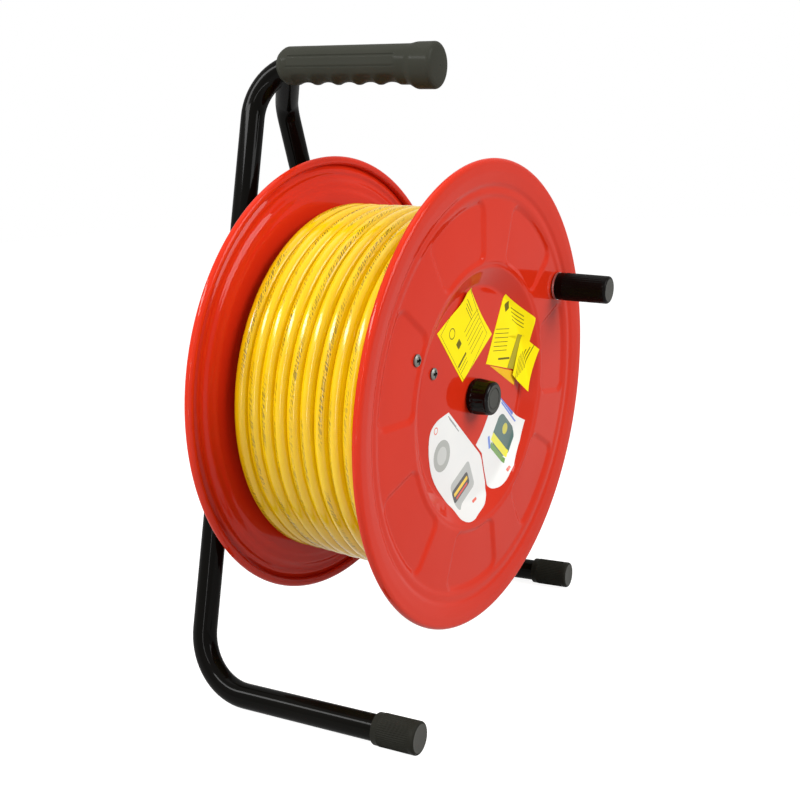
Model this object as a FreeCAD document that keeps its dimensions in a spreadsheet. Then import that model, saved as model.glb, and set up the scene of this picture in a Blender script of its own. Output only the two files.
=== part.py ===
import FreeCAD, Part
import math
import os
import re

import Sketcher

# Extension cord reel: a pressed steel drum that turns on a fixed axle, carried by a bent tube stand.
# Millimetres. The floor is at height 0, the drum's open face looks towards -Y, and up is +Z.
# Drum pieces are drawn about the drum's own axle (their Y axis) and then placed on the stand.

SIZES = [
    ("edge_chamfer", 1, "small chamfers"),
    # Stand
    ("tube_diameter", 20, "stand tube, outside"),
    ("tube_wall", 1.5, "stand tube, wall"),
    ("stand_half_width", 161.3, "middle of the stand to the middle of a foot"),
    ("riser_lean", 16.43, "degrees that each riser leans inwards"),
    ("riser_back", 125.3, "riser plane behind the origin"),
    ("heel_bend", 47, "bend radius between foot and riser"),
    ("foot_reach", 206.8, "riser plane to the front end of a foot cap"),
    ("handle_height", 507.6, "handle tube above the floor, at the riser plane"),
    ("handle_slope", 4.35, "degrees that the handle drops towards the front"),
    ("handle_bend", 40, "bend radius between left riser and handle"),
    ("join_height", 475.5, "height where the right riser turns to the handle"),
    ("join_bend", 24, "bend radius at that turn"),
    ("join_back", 31, "weld of the right riser, ahead of the riser plane"),
    ("join_drop", 7, "the same weld, below the handle line"),
    ("crossbar_depth", 40, "upright size of the cross bar"),
    ("crossbar_thickness", 6, "cross bar, front to back"),
    # Grip and foot caps
    ("grip_length", 144.5, "grip, end to end"),
    ("grip_back", 23.4, "grip's rear end ahead of the riser plane"),
    ("grip_diameter", 30.6, "grip's body"),
    ("grip_collar_diameter", 34, "thicker front end of the grip"),
    ("grip_collar_length", 28, "length of that thicker end"),
    ("grip_front_wall", 7, "closed front end of the grip"),
    ("grip_front_edge", 2.5, "chamfer at the grip's front end"),
    ("grip_rear_edge", 3, "chamfer at the grip's rear end"),
    ("grip_collar_step", 2, "length of the slope behind the thicker end"),
    ("wave_pitch", 19.9, "distance between finger hollows"),
    ("wave_radius", 20, "radius of a finger hollow"),
    ("wave_depth", 2.6, "depth of a finger hollow"),
    ("wave_count", 5, "finger hollows"),
    ("wave_start", 42, "first finger hollow from the front"),
    ("cap_diameter", 25, "foot cap, outside"),
    ("cap_length", 36, "foot cap, end to end"),
    ("cap_end_wall", 4, "closed end of a foot cap"),
    ("cap_flat", 0.5, "depth of the flat that the cap stands on"),
    ("cap_chamfer", 1.5, "chamfer on the cap's ends"),
    ("rib_count", 24, "grooves round a foot cap"),
    ("rib_groove", 0.8, "radius of such a groove"),
    ("rib_length", 26.5, "length of such a groove"),
    ("rib_start", 4.5, "smooth band at the cap's front"),
    # Where the drum sits
    ("axle_height", 236.6, "middle of the drum above the floor"),
    ("axle_forward", 2.7, "middle of the drum behind the origin"),
    ("axle_droop", 3.21, "degrees that the drum's front hangs down on its axle"),
    ("axle_yaw", 3.51, "degrees that the drum's front turns to the left"),
    # Flanges
    ("flange_radius", 191, "flange, outside its rolled rim"),
    ("rim_roll", 3.5, "radius of the rolled rim"),
    ("sheet_metal", 1.2, "pressed steel"),
    ("rim_face", 79, "middle of the drum to the outermost face"),
    ("band_inner", 20, "inner edge of the broad rim band, in from the flange's edge"),
    ("band_drop", 2.2, "inner edge of that band below the outermost face"),
    ("band_crown", 0.3, "middle of that band below the outermost face"),
    ("ring_outer", 22, "raised ring inside the band, outer edge, in from the flange's edge"),
    ("ring_inner", 28, "raised ring, inner edge, in from the flange's edge"),
    ("ring_height", 1.2, "raised ring above the field"),
    ("ring_edge", 1, "width of the raised ring's slopes"),
    ("field_face", 74, "middle of the drum to the field with the pads"),
    ("pad_outer", 32, "outer edge of a pressed pad, in from the flange's edge"),
    ("pad_inner", 111.5, "inner edge of a pressed pad"),
    ("pad_depth", 2, "depth of a pressed pad"),
    ("pad_angle", 32, "degrees that a pad spans"),
    ("pad_wall_angle", 1, "degrees that a pad's two side walls add"),
    ("pad_count", 7, "pads, with a spoke between each two"),
    ("spoke_angle", 32, "degrees from the right-hand side up to one spoke"),
    ("dish_outer", 106, "outer edge of the dished middle"),
    ("dish_step", 1, "step from the field down to the dish"),
    ("dish_ledge", 3, "width of the ledge under that step"),
    ("dish_inner", 91, "flat middle of the dish"),
    ("dish_face", 63, "middle of the drum to the flat middle's outer face"),
    ("core_radius", 88, "drum core, outside"),
    # Axle, bushes and hub
    ("axle_diameter", 14, "axle"),
    ("running_gap", 0.05, "radial gap of a part that turns on its shaft"),
    ("end_play", 0.3, "end gap of a part that turns on its shaft"),
    ("bush_diameter", 24, "bush through the flange"),
    ("bush_collar_diameter", 34, "bush's collar inside the flange"),
    ("bush_collar", 3, "thickness of that collar"),
    ("bush_length", 18, "bush, end to end"),
    ("washer_diameter", 21, "axle washers"),
    ("washer_thickness", 1.6, "axle washers"),
    ("axle_nut_width", 19, "axle nut across its flats"),
    ("axle_nut_height", 10, "axle nut"),
    ("axle_nose", 1.5, "axle beyond its nut"),
    ("axle_boss_diameter", 24, "welded boss behind the drum"),
    ("hub_cap_diameter", 30.4, "hub cap at its base"),
    ("hub_cap_nose", 27.4, "hub cap at its end"),
    ("hub_cap_length", 18.1, "hub cap"),
    ("hub_cap_wall", 2.5, "hub cap's end wall"),
    ("hub_cap_gap", 1, "hub cap off the flange"),
    ("nut_grip", 0.15, "hub cap's bore round the nut's corners"),
    # Winding knob
    ("knob_place", 35.9, "middle of the winding knob, in from the flange's edge"),
    ("knob_angle", 29.1, "degrees from the right-hand side up to the knob"),
    ("knob_diameter", 25.2, "winding knob at its base"),
    ("knob_nose", 24.6, "winding knob at its end"),
    ("knob_end", 125, "middle of the drum to the knob's end"),
    ("knob_cap_diameter", 20, "end cap let into the knob"),
    ("knob_cap_thickness", 2.5, "that end cap"),
    ("knob_recess", 7, "recess at the knob's end for the clip"),
    ("knob_rounding", 1.5, "chamfer at the knob's end"),
    ("stud_diameter", 8, "stud that the knob turns on"),
    ("stud_head_diameter", 16, "stud's flat head behind the flange"),
    ("stud_head", 1.8, "thickness of that head"),
    ("stud_end_gap", 1, "stud short of the knob's end cap"),
    ("knob_washer_diameter", 25, "bright washer under the knob"),
    ("knob_washer_thickness", 1.6, "that washer"),
    ("knob_seat_diameter", 27, "raised seat under that washer"),
    ("clip_diameter", 15, "push-on clip at the stud's end"),
    ("clip_thickness", 1.2, "that clip"),
    ("clip_room", 1, "free space round that clip"),
    # Cord
    ("cord_diameter", 12.2, "yellow cord"),
    ("winding_radius", 152, "outside of the winding"),
    ("winding_edge", 69.85, "middle of the drum to the winding's edge"),
    ("turn_pitch", 12.7, "one turn to the next"),
    ("first_turn_angle", -89, "degrees at which the outer layer starts"),
    ("last_turn_angle", -75, "degrees at which the outer layer ends"),
    ("pack_gap", 0.4, "gap between the outer layer and the layers under it"),
    ("pack_bore_gap", 0.3, "gap between those layers and the drum core"),
    ("pack_end_gap", 1, "gap between those layers and the flanges' flat middles"),
    ("tail_place", 50, "plug's axis behind the middle of the drum"),
    ("tail_angle", 25, "degrees at which the plug lies closest to the axle"),
    ("tail_wait", 0.2, "share of the tail that rises before it moves sideways"),
    ("stub_length", 12.2, "straight cord before the first turn"),
    ("heel_length", 15, "climb of the layer below, where the outer layer starts"),
    ("heel_depth", 1.5, "depth of that climb in cord diameters"),
    # Plug
    ("plug_diameter", 32, "plug body"),
    ("plug_rest", 0.3, "plug above the winding"),
    ("plug_front", 32, "plug body ahead of its closest point"),
    ("plug_rear", 12, "plug body behind that point"),
    ("plug_shoulder", 3, "chamfer at the plug body's rear"),
    ("sleeve_length", 20, "sleeve behind the plug body"),
    ("sleeve_diameter", 17, "sleeve at the plug body"),
    ("sleeve_end_diameter", 14.6, "sleeve at the cord"),
    ("pin_diameter", 4.8, "plug pins"),
    ("pin_length", 19, "plug pins"),
    ("pin_spacing", 19, "plug pins, middle to middle"),
    # Cord clamp inside the front flange
    ("clamp_angle", 154.5, "degrees from the right-hand side up to the clamp"),
    ("clamp_outer", 117.4, "outer screw from the axle"),
    ("clamp_inner", 74, "inner screw from the axle"),
    ("clamp_bar_face", 58, "middle of the drum to the clamp bar's outer face"),
    ("clamp_bar_thickness", 2.5, "clamp bar"),
    ("clamp_bar_width", 14, "clamp bar"),
    ("clamp_bar_overhang", 7, "clamp bar beyond each screw"),
    ("clamp_screw_diameter", 5, "clamp screws"),
    ("clamp_screw_nose", 1, "clamp screws beyond their nuts"),
    ("clamp_head_diameter", 9.2, "clamp screws' heads"),
    ("clamp_head_height", 2.6, "clamp screws' heads"),
    ("clamp_nut_width", 8, "clamp nuts across their flats"),
    ("clamp_nut_height", 4, "clamp nuts"),
    ("clamp_room", 4, "free space round the clamp"),
    # Outlets on the stand's side of the drum
    ("outlet_plate_radius", 84, "outlet plate"),
    ("outlet_plate_thickness", 3, "outlet plate"),
    ("outlet_plate_bore", 16, "radius of the plate's hole for the axle boss"),
    ("outlet_place", 50, "outlets and button from the axle"),
    ("outlet_count", 3, "outlets"),
    ("outlet_angle", 90, "degrees from the right-hand side up to the first outlet"),
    ("outlet_diameter", 39, "outlet's body"),
    ("outlet_lip_diameter", 43, "outlet's lip on the plate"),
    ("outlet_lip", 2, "thickness of that lip"),
    ("outlet_depth", 22, "outlet's body behind the lip"),
    ("outlet_gap", 0.2, "gap round an outlet in its hole"),
    ("slot_length", 7, "outlet's blade slots"),
    ("slot_width", 2, "outlet's blade slots"),
    ("slot_spacing", 12.7, "outlet's blade slots, middle to middle"),
    ("slot_depth", 14, "depth of an outlet's slots"),
    ("earth_diameter", 5, "outlet's earth hole"),
    ("earth_drop", 10, "earth hole from the slots' middle line"),
    ("plate_screw_count", 4, "plate screws"),
    ("plate_screw_place", 77, "plate screws from the axle"),
    ("plate_screw_diameter", 4, "plate screws"),
    ("plate_screw_head_diameter", 7.6, "plate screws' heads"),
    ("plate_screw_head_height", 2.4, "plate screws' heads"),
    ("plate_screw_length", 12, "plate screws below their heads"),
    ("plate_screw_angle", 30, "degrees from the right-hand side up to the first plate screw"),
    # Cut-out button
    ("button_angle", 30, "degrees from the right-hand side up to the button"),
    ("button_diameter", 13, "cut-out button"),
    ("button_gap", 0.1, "radial gap round the button"),
    ("button_stand", 5, "button above the plate"),
    ("button_travel", 3, "how far the button goes in"),
    ("button_length", 11.5, "cut-out button"),
    ("cutout_width", 24, "cut-out's case"),
    ("cutout_depth", 20, "cut-out's case behind the flange"),
]

V = FreeCAD.Vector
ROTATION = FreeCAD.Rotation
doc = FreeCAD.newDocument("cord_reel")
sheet = doc.addObject("Spreadsheet::Sheet", "Sizes")
for row, (alias, number, meaning) in enumerate(SIZES, 1):
    sheet.set("A%d" % row, alias)
    sheet.set("B%d" % row, str(number))
    sheet.setAlias("B%d" % row, alias)
    sheet.set("C%d" % row, meaning)
doc.recompute()
ALIASES = {entry[0] for entry in SIZES}
NODES = {}


def bound(text):
    """The expression with each size named as a cell of the sheet."""
    def cell(match):
        word = match.group()
        return "Sizes." + word if word in ALIASES else word
    return re.sub(r"[a-z][a-z_]*", cell, text)


def worth(text):
    """The number that an expression gives now."""
    return float(sheet.evalExpression(bound(text)))


def tie(thing, **fields):
    """Binds properties of an object to expressions."""
    for field, text in fields.items():
        thing.setExpression(field, bound(text))
    return thing


def new_body(label):
    body = doc.addObject("PartDesign::Body", label)
    body.Label = label
    return body


def origin_plane(body, role):
    return next(item for item in body.Origin.OriginFeatures if item.Role == role)


def new_sketch(body, name, role):
    sketch = body.newObject("Sketcher::SketchObject", name)
    sketch.AttachmentSupport = [(origin_plane(body, role), "")]
    sketch.MapMode = "FlatFace"
    return sketch


def hold(sketch, kind, text, *where):
    """Adds a constraint whose value is an expression."""
    index = sketch.addConstraint(Sketcher.Constraint(kind, *where, worth(text)))
    sketch.setExpression("Constraints[%d]" % index, bound(text))


def add_outline(sketch, points):
    """Adds a closed outline of straight lines whose corners are pairs of expressions."""
    spots = [V(worth(across), worth(along), 0) for across, along in points]
    first = sketch.GeometryCount
    count = len(points)
    for i in range(count):
        sketch.addGeometry(Part.LineSegment(spots[i], spots[(i + 1) % count]), False)
    for i in range(count):
        sketch.addConstraint(Sketcher.Constraint("Coincident", first + i, 2, first + (i + 1) % count, 1))
    for i, (across, along) in enumerate(points):
        hold(sketch, "DistanceX", across, -1, 1, first + i, 1)
        hold(sketch, "DistanceY", along, -1, 1, first + i, 1)


def add_circle(sketch, across, along, radius):
    index = sketch.GeometryCount
    sketch.addGeometry(Part.Circle(V(worth(across), worth(along), 0), V(0, 0, 1), worth(radius)), False)
    hold(sketch, "Radius", radius, index)
    hold(sketch, "DistanceX", across, -1, 1, index, 3)
    hold(sketch, "DistanceY", along, -1, 1, index, 3)


def turned(label, points, place=None, kind="PartDesign::Revolution", body=None, sweep=None):
    """A piece turned about its own Y axis; each point is its radius and its place along the axis."""
    body = body or new_body(label)
    sketch = new_sketch(body, label + "_profile", "XY_Plane")
    add_outline(sketch, points)
    feature = body.newObject(kind, label + "_turn")
    feature.Profile = sketch
    feature.ReferenceAxis = (sketch, ["V_Axis"])
    if sweep:
        feature.Midplane = True
        feature.setExpression("Angle", bound(sweep))
    else:
        feature.Angle = 360
    if place:
        body.Placement = place
    return body


def pocket(body, name, role, draw, depth=None, reverse=False):
    """Cuts what draw() sketches: right through both ways, or to a depth."""
    sketch = new_sketch(body, name + "_sketch", role)
    draw(sketch)
    cut = body.newObject("PartDesign::Pocket", name)
    cut.Profile = sketch
    if depth:
        cut.Reversed = reverse
        cut.setExpression("Length", bound(depth))
    else:
        cut.Type = "ThroughAll"
        cut.Midplane = True
    return cut


def drill(body, name, holes):
    """Drills round holes along the body's Y axis; each hole is across, up and radius."""
    def draw(sketch):
        for across, up, radius in holes:
            add_circle(sketch, across, up, radius)
    return pocket(body, name, "XZ_Plane", draw)


def repeat(body, features, axis_sketch, count):
    """Repeats features evenly round the body's Y axis."""
    pattern = body.newObject("PartDesign::PolarPattern", features[0].Name + "_ring")
    pattern.Originals = features
    pattern.Axis = (axis_sketch, ["V_Axis"])
    pattern.Angle = 360
    pattern.setExpression("Occurrences", bound(count))
    body.Tip = pattern
    return pattern


def feature(label, shape):
    item = doc.addObject("Part::Feature", label)
    item.Label = label
    item.Shape = shape
    return item


def cut_away(label, base, tools):
    """A piece that is one object less others."""
    result = base
    for number, tool in enumerate(tools, 1):
        step = doc.addObject("Part::Cut", "%s_cut_%d" % (label, number))
        step.Base = result
        step.Tool = tool
        result = step
    result.Label = label
    return result


def group(label, members):
    """Identical pieces that share one node."""
    item = doc.addObject("Part::Compound", label)
    item.Label = label
    item.Links = members
    return item


def node(item, name):
    NODES[name] = item
    return item


def polar(radius, angle):
    """Expressions across and up for a place given by radius and degrees."""
    return "(%s) * cos(%s)" % (radius, angle), "(%s) * sin(%s)" % (radius, angle)


# Placements of the drum and of what sits off its axle
AXLE = FreeCAD.Placement(
    V(0, worth("axle_forward"), worth("axle_height")),
    ROTATION(V(1, 0, 0), worth("axle_droop")) * ROTATION(V(0, 0, 1), -worth("axle_yaw")),
)


def on_drum(radius=0.0, angle=0.0, along=0.0):
    """The placement of a piece that stands off the axle, still parallel to it."""
    turn = math.radians(angle)
    return AXLE * FreeCAD.Placement(V(radius * math.cos(turn), along, radius * math.sin(turn)), ROTATION())


def about_axle(angle):
    """The drum's placement, turned about the axle from the right-hand side upwards."""
    return AXLE * FreeCAD.Placement(V(), ROTATION(V(0, 1, 0), -angle))


# Routes of straight runs and tangent arcs
def rounded(points, radii):
    """Edges through points, each inner point rounded by its radius."""
    edges = []
    start = points[0]
    for before, corner, after, radius in zip(points, points[1:], points[2:], radii):
        back = (before - corner).normalize()
        ahead = (after - corner).normalize()
        half = (math.pi - back.getAngle(ahead)) / 2
        reach = radius * math.tan(half)
        entry = corner + back * reach
        leave = corner + ahead * reach
        inward = (back + ahead).normalize()
        middle = corner + inward * (radius / math.cos(half) - radius)
        edges.append(Part.LineSegment(start, entry).toShape())
        edges.append(Part.Arc(entry, middle, leave).toShape())
        start = leave
    edges.append(Part.LineSegment(start, points[-1]).toShape())
    return edges


def pipe(edges, radius):
    """A solid round bar along a route."""
    first = edges[0]
    along = first.tangentAt(first.FirstParameter)
    ring = Part.Wire(Part.Circle(first.valueAt(first.FirstParameter), along, radius).toShape())
    return Part.Wire(edges).makePipeShell([ring], True, False)


# The stand's two bent tubes
TUBE = worth("tube_diameter") / 2
BORE = TUBE - worth("tube_wall")
CAP_CENTRE = worth("cap_diameter") / 2 - worth("cap_flat")
HEEL_TANGENT = worth("heel_bend")
FOOT_SLOPE = (CAP_CENTRE - TUBE) / (worth("foot_reach") - worth("cap_length") / 2 - HEEL_TANGENT)
HEEL_HEIGHT = TUBE - HEEL_TANGENT * FOOT_SLOPE
LEAN = math.tan(math.radians(worth("riser_lean")))
SLOPE = math.tan(math.radians(worth("handle_slope")))


def heel(side):
    return V(side * worth("stand_half_width"), worth("riser_back"), HEEL_HEIGHT)


def on_riser(side, height):
    """A point of a riser's middle line."""
    return V(side * (worth("stand_half_width") - (height - HEEL_HEIGHT) * LEAN), worth("riser_back"), height)


def on_foot(side, reach):
    """A point of a foot's middle line, as far ahead of the riser plane as reach."""
    return heel(side) + V(0, -reach, reach * FOOT_SLOPE)


HANDLE_CORNER = on_riser(-1, worth("handle_height"))


def on_handle(reach):
    """A point of the handle's middle line, as far ahead of the riser plane as reach."""
    return HANDLE_CORNER + V(0, -reach, -reach * SLOPE)


FOOT_END = worth("foot_reach") - worth("cap_end_wall")
GRIP_FRONT = worth("grip_back") + worth("grip_length") * math.cos(math.radians(worth("handle_slope")))
TUBE_FRONT = GRIP_FRONT - worth("grip_front_wall")
LEFT_ROUTE = rounded(
    [on_handle(TUBE_FRONT), HANDLE_CORNER, heel(-1), on_foot(-1, FOOT_END)],
    [worth("handle_bend"), worth("heel_bend")],
)
JOIN = HANDLE_CORNER + V(0, -worth("join_back"), -worth("join_drop"))
RIGHT_ROUTE = rounded(
    [JOIN, on_riser(1, worth("join_height")), heel(1), on_foot(1, FOOT_END)],
    [worth("join_bend"), worth("heel_bend")],
)
left_bar = pipe(LEFT_ROUTE, TUBE)
right_bar = pipe(RIGHT_ROUTE, TUBE)
node(feature("frame_tube_left", left_bar.cut(pipe(LEFT_ROUTE, BORE))), "frame_tube_left")
node(feature("frame_tube_right", right_bar.cut(pipe(RIGHT_ROUTE, BORE)).cut(left_bar)), "frame_tube_right")
left_bar_item = feature("left_bar", left_bar)
right_bar_item = feature("right_bar", right_bar)

# Cross bar between the risers, at the axle's height
crossbar_body = new_body("crossbar_blank")
crossbar_sketch = new_sketch(crossbar_body, "crossbar_outline", "XZ_Plane")
heights = ["axle_height - crossbar_depth / 2", "axle_height + crossbar_depth / 2"]
reach = "(stand_half_width - (%s - %.6f) * tan(riser_lean))"
low, high = (reach % (height, HEEL_HEIGHT) for height in heights)
add_outline(crossbar_sketch, [
    ("-" + low, heights[0]), (low, heights[0]), (high, heights[1]), ("-" + high, heights[1]),
])
crossbar_pad = crossbar_body.newObject("PartDesign::Pad", "crossbar_pad")
crossbar_pad.Profile = crossbar_sketch
crossbar_pad.Midplane = True
crossbar_pad.setExpression("Length", bound("crossbar_thickness"))
crossbar_body.Placement = FreeCAD.Placement(V(0, worth("riser_back"), 0), ROTATION())
crossbar = node(cut_away("crossbar", crossbar_body, [left_bar_item, right_bar_item]), "crossbar")

# Axle with its welded boss, cut off flat at the cross bar
BOSS_START = "dish_face + end_play + washer_thickness"
NUT_END = "dish_face + end_play + washer_thickness + axle_nut_height"
axle_blank = turned("axle_blank", [
    ("0", "-(%s + axle_nose)" % NUT_END),
    ("axle_diameter / 2", "-(%s + axle_nose)" % NUT_END),
    ("axle_diameter / 2", BOSS_START),
    ("axle_boss_diameter / 2", BOSS_START),
    ("axle_boss_diameter / 2", "riser_back + crossbar_thickness"),
    ("0", "riser_back + crossbar_thickness"),
], AXLE)
behind = doc.addObject("Part::Box", "behind_crossbar_face")
tie(behind, Length="4 * axle_boss_diameter", Width="4 * axle_boss_diameter", Height="4 * axle_boss_diameter")
behind.Placement = FreeCAD.Placement(
    V(-2 * worth("axle_boss_diameter"), worth("riser_back - crossbar_thickness / 2"),
      worth("axle_height - 2 * axle_boss_diameter")), ROTATION())
node(cut_away("axle", axle_blank, [behind]), "axle")

# Washers, nut and hub cap on the axle
for label, side, start in (("axle_washer_front", "-", "dish_face + end_play"),
                           ("axle_washer_rear", "", "dish_face + end_play")):
    near = "%s(%s)" % (side, start)
    far = "%s(%s + washer_thickness)" % (side, start)
    node(turned(label, [
        ("axle_diameter / 2", near), ("washer_diameter / 2", near),
        ("washer_diameter / 2", far), ("axle_diameter / 2", far),
    ], AXLE), label)


def nut(label, width, height, bore, place):
    """A hexagon nut that stands on the place's origin, along its own Z axis."""
    block = doc.addObject("Part::Prism", label + "_block")
    block.Polygon = 6
    tie(block, Circumradius="%s / 2 / cos(30)" % width, Height=height)
    hole = doc.addObject("Part::Cylinder", label + "_hole")
    tie(hole, Radius=bore, Height=height)
    for item in (block, hole):
        item.Placement = place
    return cut_away(label, block, [hole])


OUTWARDS = FreeCAD.Placement(V(), ROTATION(V(1, 0, 0), 90))
axle_nut_place = on_drum(along=-worth("dish_face + end_play + washer_thickness")) * OUTWARDS
node(nut("axle_nut", "axle_nut_width", "axle_nut_height", "axle_diameter / 2", axle_nut_place), "axle_nut")
HUB_BASE = "-(dish_face + hub_cap_gap)"
HUB_END = "-(dish_face + hub_cap_gap + hub_cap_length)"
NUT_ROOM = "(axle_nut_width / 2 / cos(30) + nut_grip)"
node(turned("hub_cap", [
    (NUT_ROOM, HUB_BASE), ("hub_cap_diameter / 2", HUB_BASE), ("hub_cap_nose / 2", HUB_END),
    ("0", HUB_END), ("0", HUB_END + " + hub_cap_wall"), (NUT_ROOM, HUB_END + " + hub_cap_wall"),
], AXLE), "hub_cap")

# Grip on the handle, closed at its front and hollowed for the fingers underneath
grip_body = turned("grip_blank", [
    ("0", "0"), ("grip_collar_diameter / 2 - grip_front_edge", "0"),
    ("grip_collar_diameter / 2", "grip_front_edge"), ("grip_collar_diameter / 2", "grip_collar_length"),
    ("grip_diameter / 2", "grip_collar_length + grip_collar_step"),
    ("grip_diameter / 2", "grip_length - grip_rear_edge"),
    ("grip_diameter / 2 - grip_rear_edge", "grip_length"), ("0", "grip_length"),
])
wave_sketch = new_sketch(grip_body, "wave_sketch", "YZ_Plane")
add_circle(wave_sketch, "wave_start", "-(grip_diameter / 2 + wave_radius - wave_depth)", "wave_radius")
wave = grip_body.newObject("PartDesign::Pocket", "wave")
wave.Profile = wave_sketch
wave.Type = "ThroughAll"
wave.Midplane = True
waves = grip_body.newObject("PartDesign::LinearPattern", "waves")
waves.Originals = [wave]
waves.Direction = (wave_sketch, ["H_Axis"])
waves.setExpression("Length", bound("wave_pitch * (wave_count - 1)"))
waves.setExpression("Occurrences", bound("wave_count"))
grip_body.Tip = waves
grip_body.Placement = FreeCAD.Placement(on_handle(GRIP_FRONT), ROTATION(V(1, 0, 0), worth("handle_slope")))
node(cut_away("handle_grip", grip_body, [left_bar_item, right_bar_item]), "handle_grip")

# Foot caps, each ribbed and cut flat where it stands
for label, side in (("foot_cap_left", -1), ("foot_cap_right", 1)):
    cap = turned(label + "_blank", [
        ("0", "0"), ("cap_diameter / 2 - cap_chamfer", "0"), ("cap_diameter / 2", "cap_chamfer"),
        ("cap_diameter / 2", "cap_length - cap_chamfer"), ("cap_diameter / 2 - cap_chamfer", "cap_length"),
        ("tube_diameter / 2", "cap_length"), ("tube_diameter / 2", "cap_end_wall"), ("0", "cap_end_wall"),
    ])
    rib_sketch = new_sketch(cap, label + "_rib_sketch", "XZ_Plane")
    rib_sketch.setExpression("AttachmentOffset.Base.z", bound("-rib_start"))
    add_circle(rib_sketch, "cap_diameter / 2", "0", "rib_groove")
    groove = cap.newObject("PartDesign::Pocket", label + "_rib")
    groove.Profile = rib_sketch
    groove.setExpression("Length", bound("rib_length"))
    ring = cap.newObject("PartDesign::PolarPattern", label + "_ribs")
    ring.Originals = [groove]
    ring.Axis = (rib_sketch, ["N_Axis"])
    ring.Angle = 360
    ring.setExpression("Occurrences", bound("rib_count"))
    cap.Tip = ring
    cap.Placement = FreeCAD.Placement(
        on_foot(side, worth("foot_reach")), ROTATION(V(1, 0, 0), -math.degrees(math.atan(FOOT_SLOPE))))
    floor = doc.addObject("Part::Box", label + "_floor")
    tie(floor, Length="3 * cap_diameter", Width="3 * cap_length", Height="cap_diameter")
    corner = on_foot(side, worth("foot_reach")) + V(-1.5 * worth("cap_diameter"), -worth("cap_length"), 0)
    floor.Placement = FreeCAD.Placement(V(corner.x, corner.y, -worth("cap_diameter")), ROTATION())
    node(cut_away(label, cap, [floor]), label)

# Flanges: one pressed sheet each, with a rolled rim, a raised ring and a dished middle; the front one has pads
PAD_CENTRE = worth("spoke_angle") - 180 / worth("pad_count")
PAD_EDGE = "flange_radius - pad_outer"


def press_pads(label, side, body):
    """Presses the pads into a flange's field, evenly round the axle."""
    floor_out = "%s(field_face - pad_depth)" % side
    floor_in = "%s(field_face - pad_depth - sheet_metal)" % side
    behind_field = "%s(field_face - sheet_metal / 2)" % side
    above_field = "%s(field_face + pad_depth)" % side
    turned(label + "_pad", [
        ("pad_inner - sheet_metal", floor_in), (PAD_EDGE + " + sheet_metal", floor_in),
        (PAD_EDGE + " + sheet_metal", behind_field), ("pad_inner - sheet_metal", behind_field),
    ], body=body, sweep="pad_angle + pad_wall_angle")
    turned(label + "_recess", [
        ("pad_inner", floor_out), (PAD_EDGE, floor_out),
        (PAD_EDGE, above_field), ("pad_inner", above_field),
    ], body=body, sweep="pad_angle", kind="PartDesign::Groove")
    pad = doc.getObject(label + "_pad_turn")
    recess = doc.getObject(label + "_recess_turn")
    repeat(body, [pad, recess], body.Group[0], "pad_count")


def flange(label, side, place, holes, bosses=(), pads=True):
    """One flange; side is a minus sign for the front one and nothing for the rear one."""
    face = [
        ("bush_diameter / 2", "dish_face"),
        ("dish_inner", "dish_face"),
        ("dish_outer", "field_face - dish_step"),
        ("dish_outer + dish_ledge", "field_face - dish_step"),
        ("dish_outer + dish_ledge + dish_step", "field_face"),
        ("flange_radius - ring_inner", "field_face"),
        ("flange_radius - ring_inner + ring_edge", "field_face + ring_height"),
        ("flange_radius - ring_outer - ring_edge", "field_face + ring_height"),
        ("flange_radius - ring_outer", "field_face + ring_height / 2"),
        ("flange_radius - band_inner", "rim_face - band_drop"),
        ("flange_radius - band_inner / 2", "rim_face - band_crown"),
        ("flange_radius - rim_roll", "rim_face"),
    ]
    back = [(across, "%s - sheet_metal" % along) for across, along in reversed(face)]
    body = turned(label, [(across, "%s(%s)" % (side, along)) for across, along in face + back], place)
    rim_sketch = new_sketch(body, label + "_rim_sketch", "XY_Plane")
    add_circle(rim_sketch, "flange_radius - rim_roll", "%s(rim_face - rim_roll)" % side, "rim_roll")
    rim = body.newObject("PartDesign::Revolution", label + "_rim")
    rim.Profile = rim_sketch
    rim.ReferenceAxis = (rim_sketch, ["V_Axis"])
    rim.Angle = 360
    if pads:
        press_pads(label, side, body)
    for number, (across, up, radius) in enumerate(bosses, 1):
        boss_sketch = new_sketch(body, "%s_boss_sketch_%d" % (label, number), "XZ_Plane")
        boss_sketch.setExpression("AttachmentOffset.Base.z", bound("field_face - sheet_metal"))
        add_circle(boss_sketch, across, up, radius)
        boss = body.newObject("PartDesign::Pad", "%s_boss_%d" % (label, number))
        boss.Profile = boss_sketch
        boss.setExpression("Length", bound("sheet_metal + ring_height"))
    body.Tip = drill(body, label + "_holes", holes)
    return body


def ring_of(count, radius, first, local=0.0):
    """Places evenly round the axle, as pairs of expressions."""
    turn = 360.0 / worth(count)
    return [polar(radius, "%s + %.6f" % (first, turn * k - local)) for k in range(int(worth(count)))]


def front_hole(radius, angle, hole):
    return polar(radius, "%s - %.6f" % (angle, PAD_CENTRE)) + (hole,)


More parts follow.
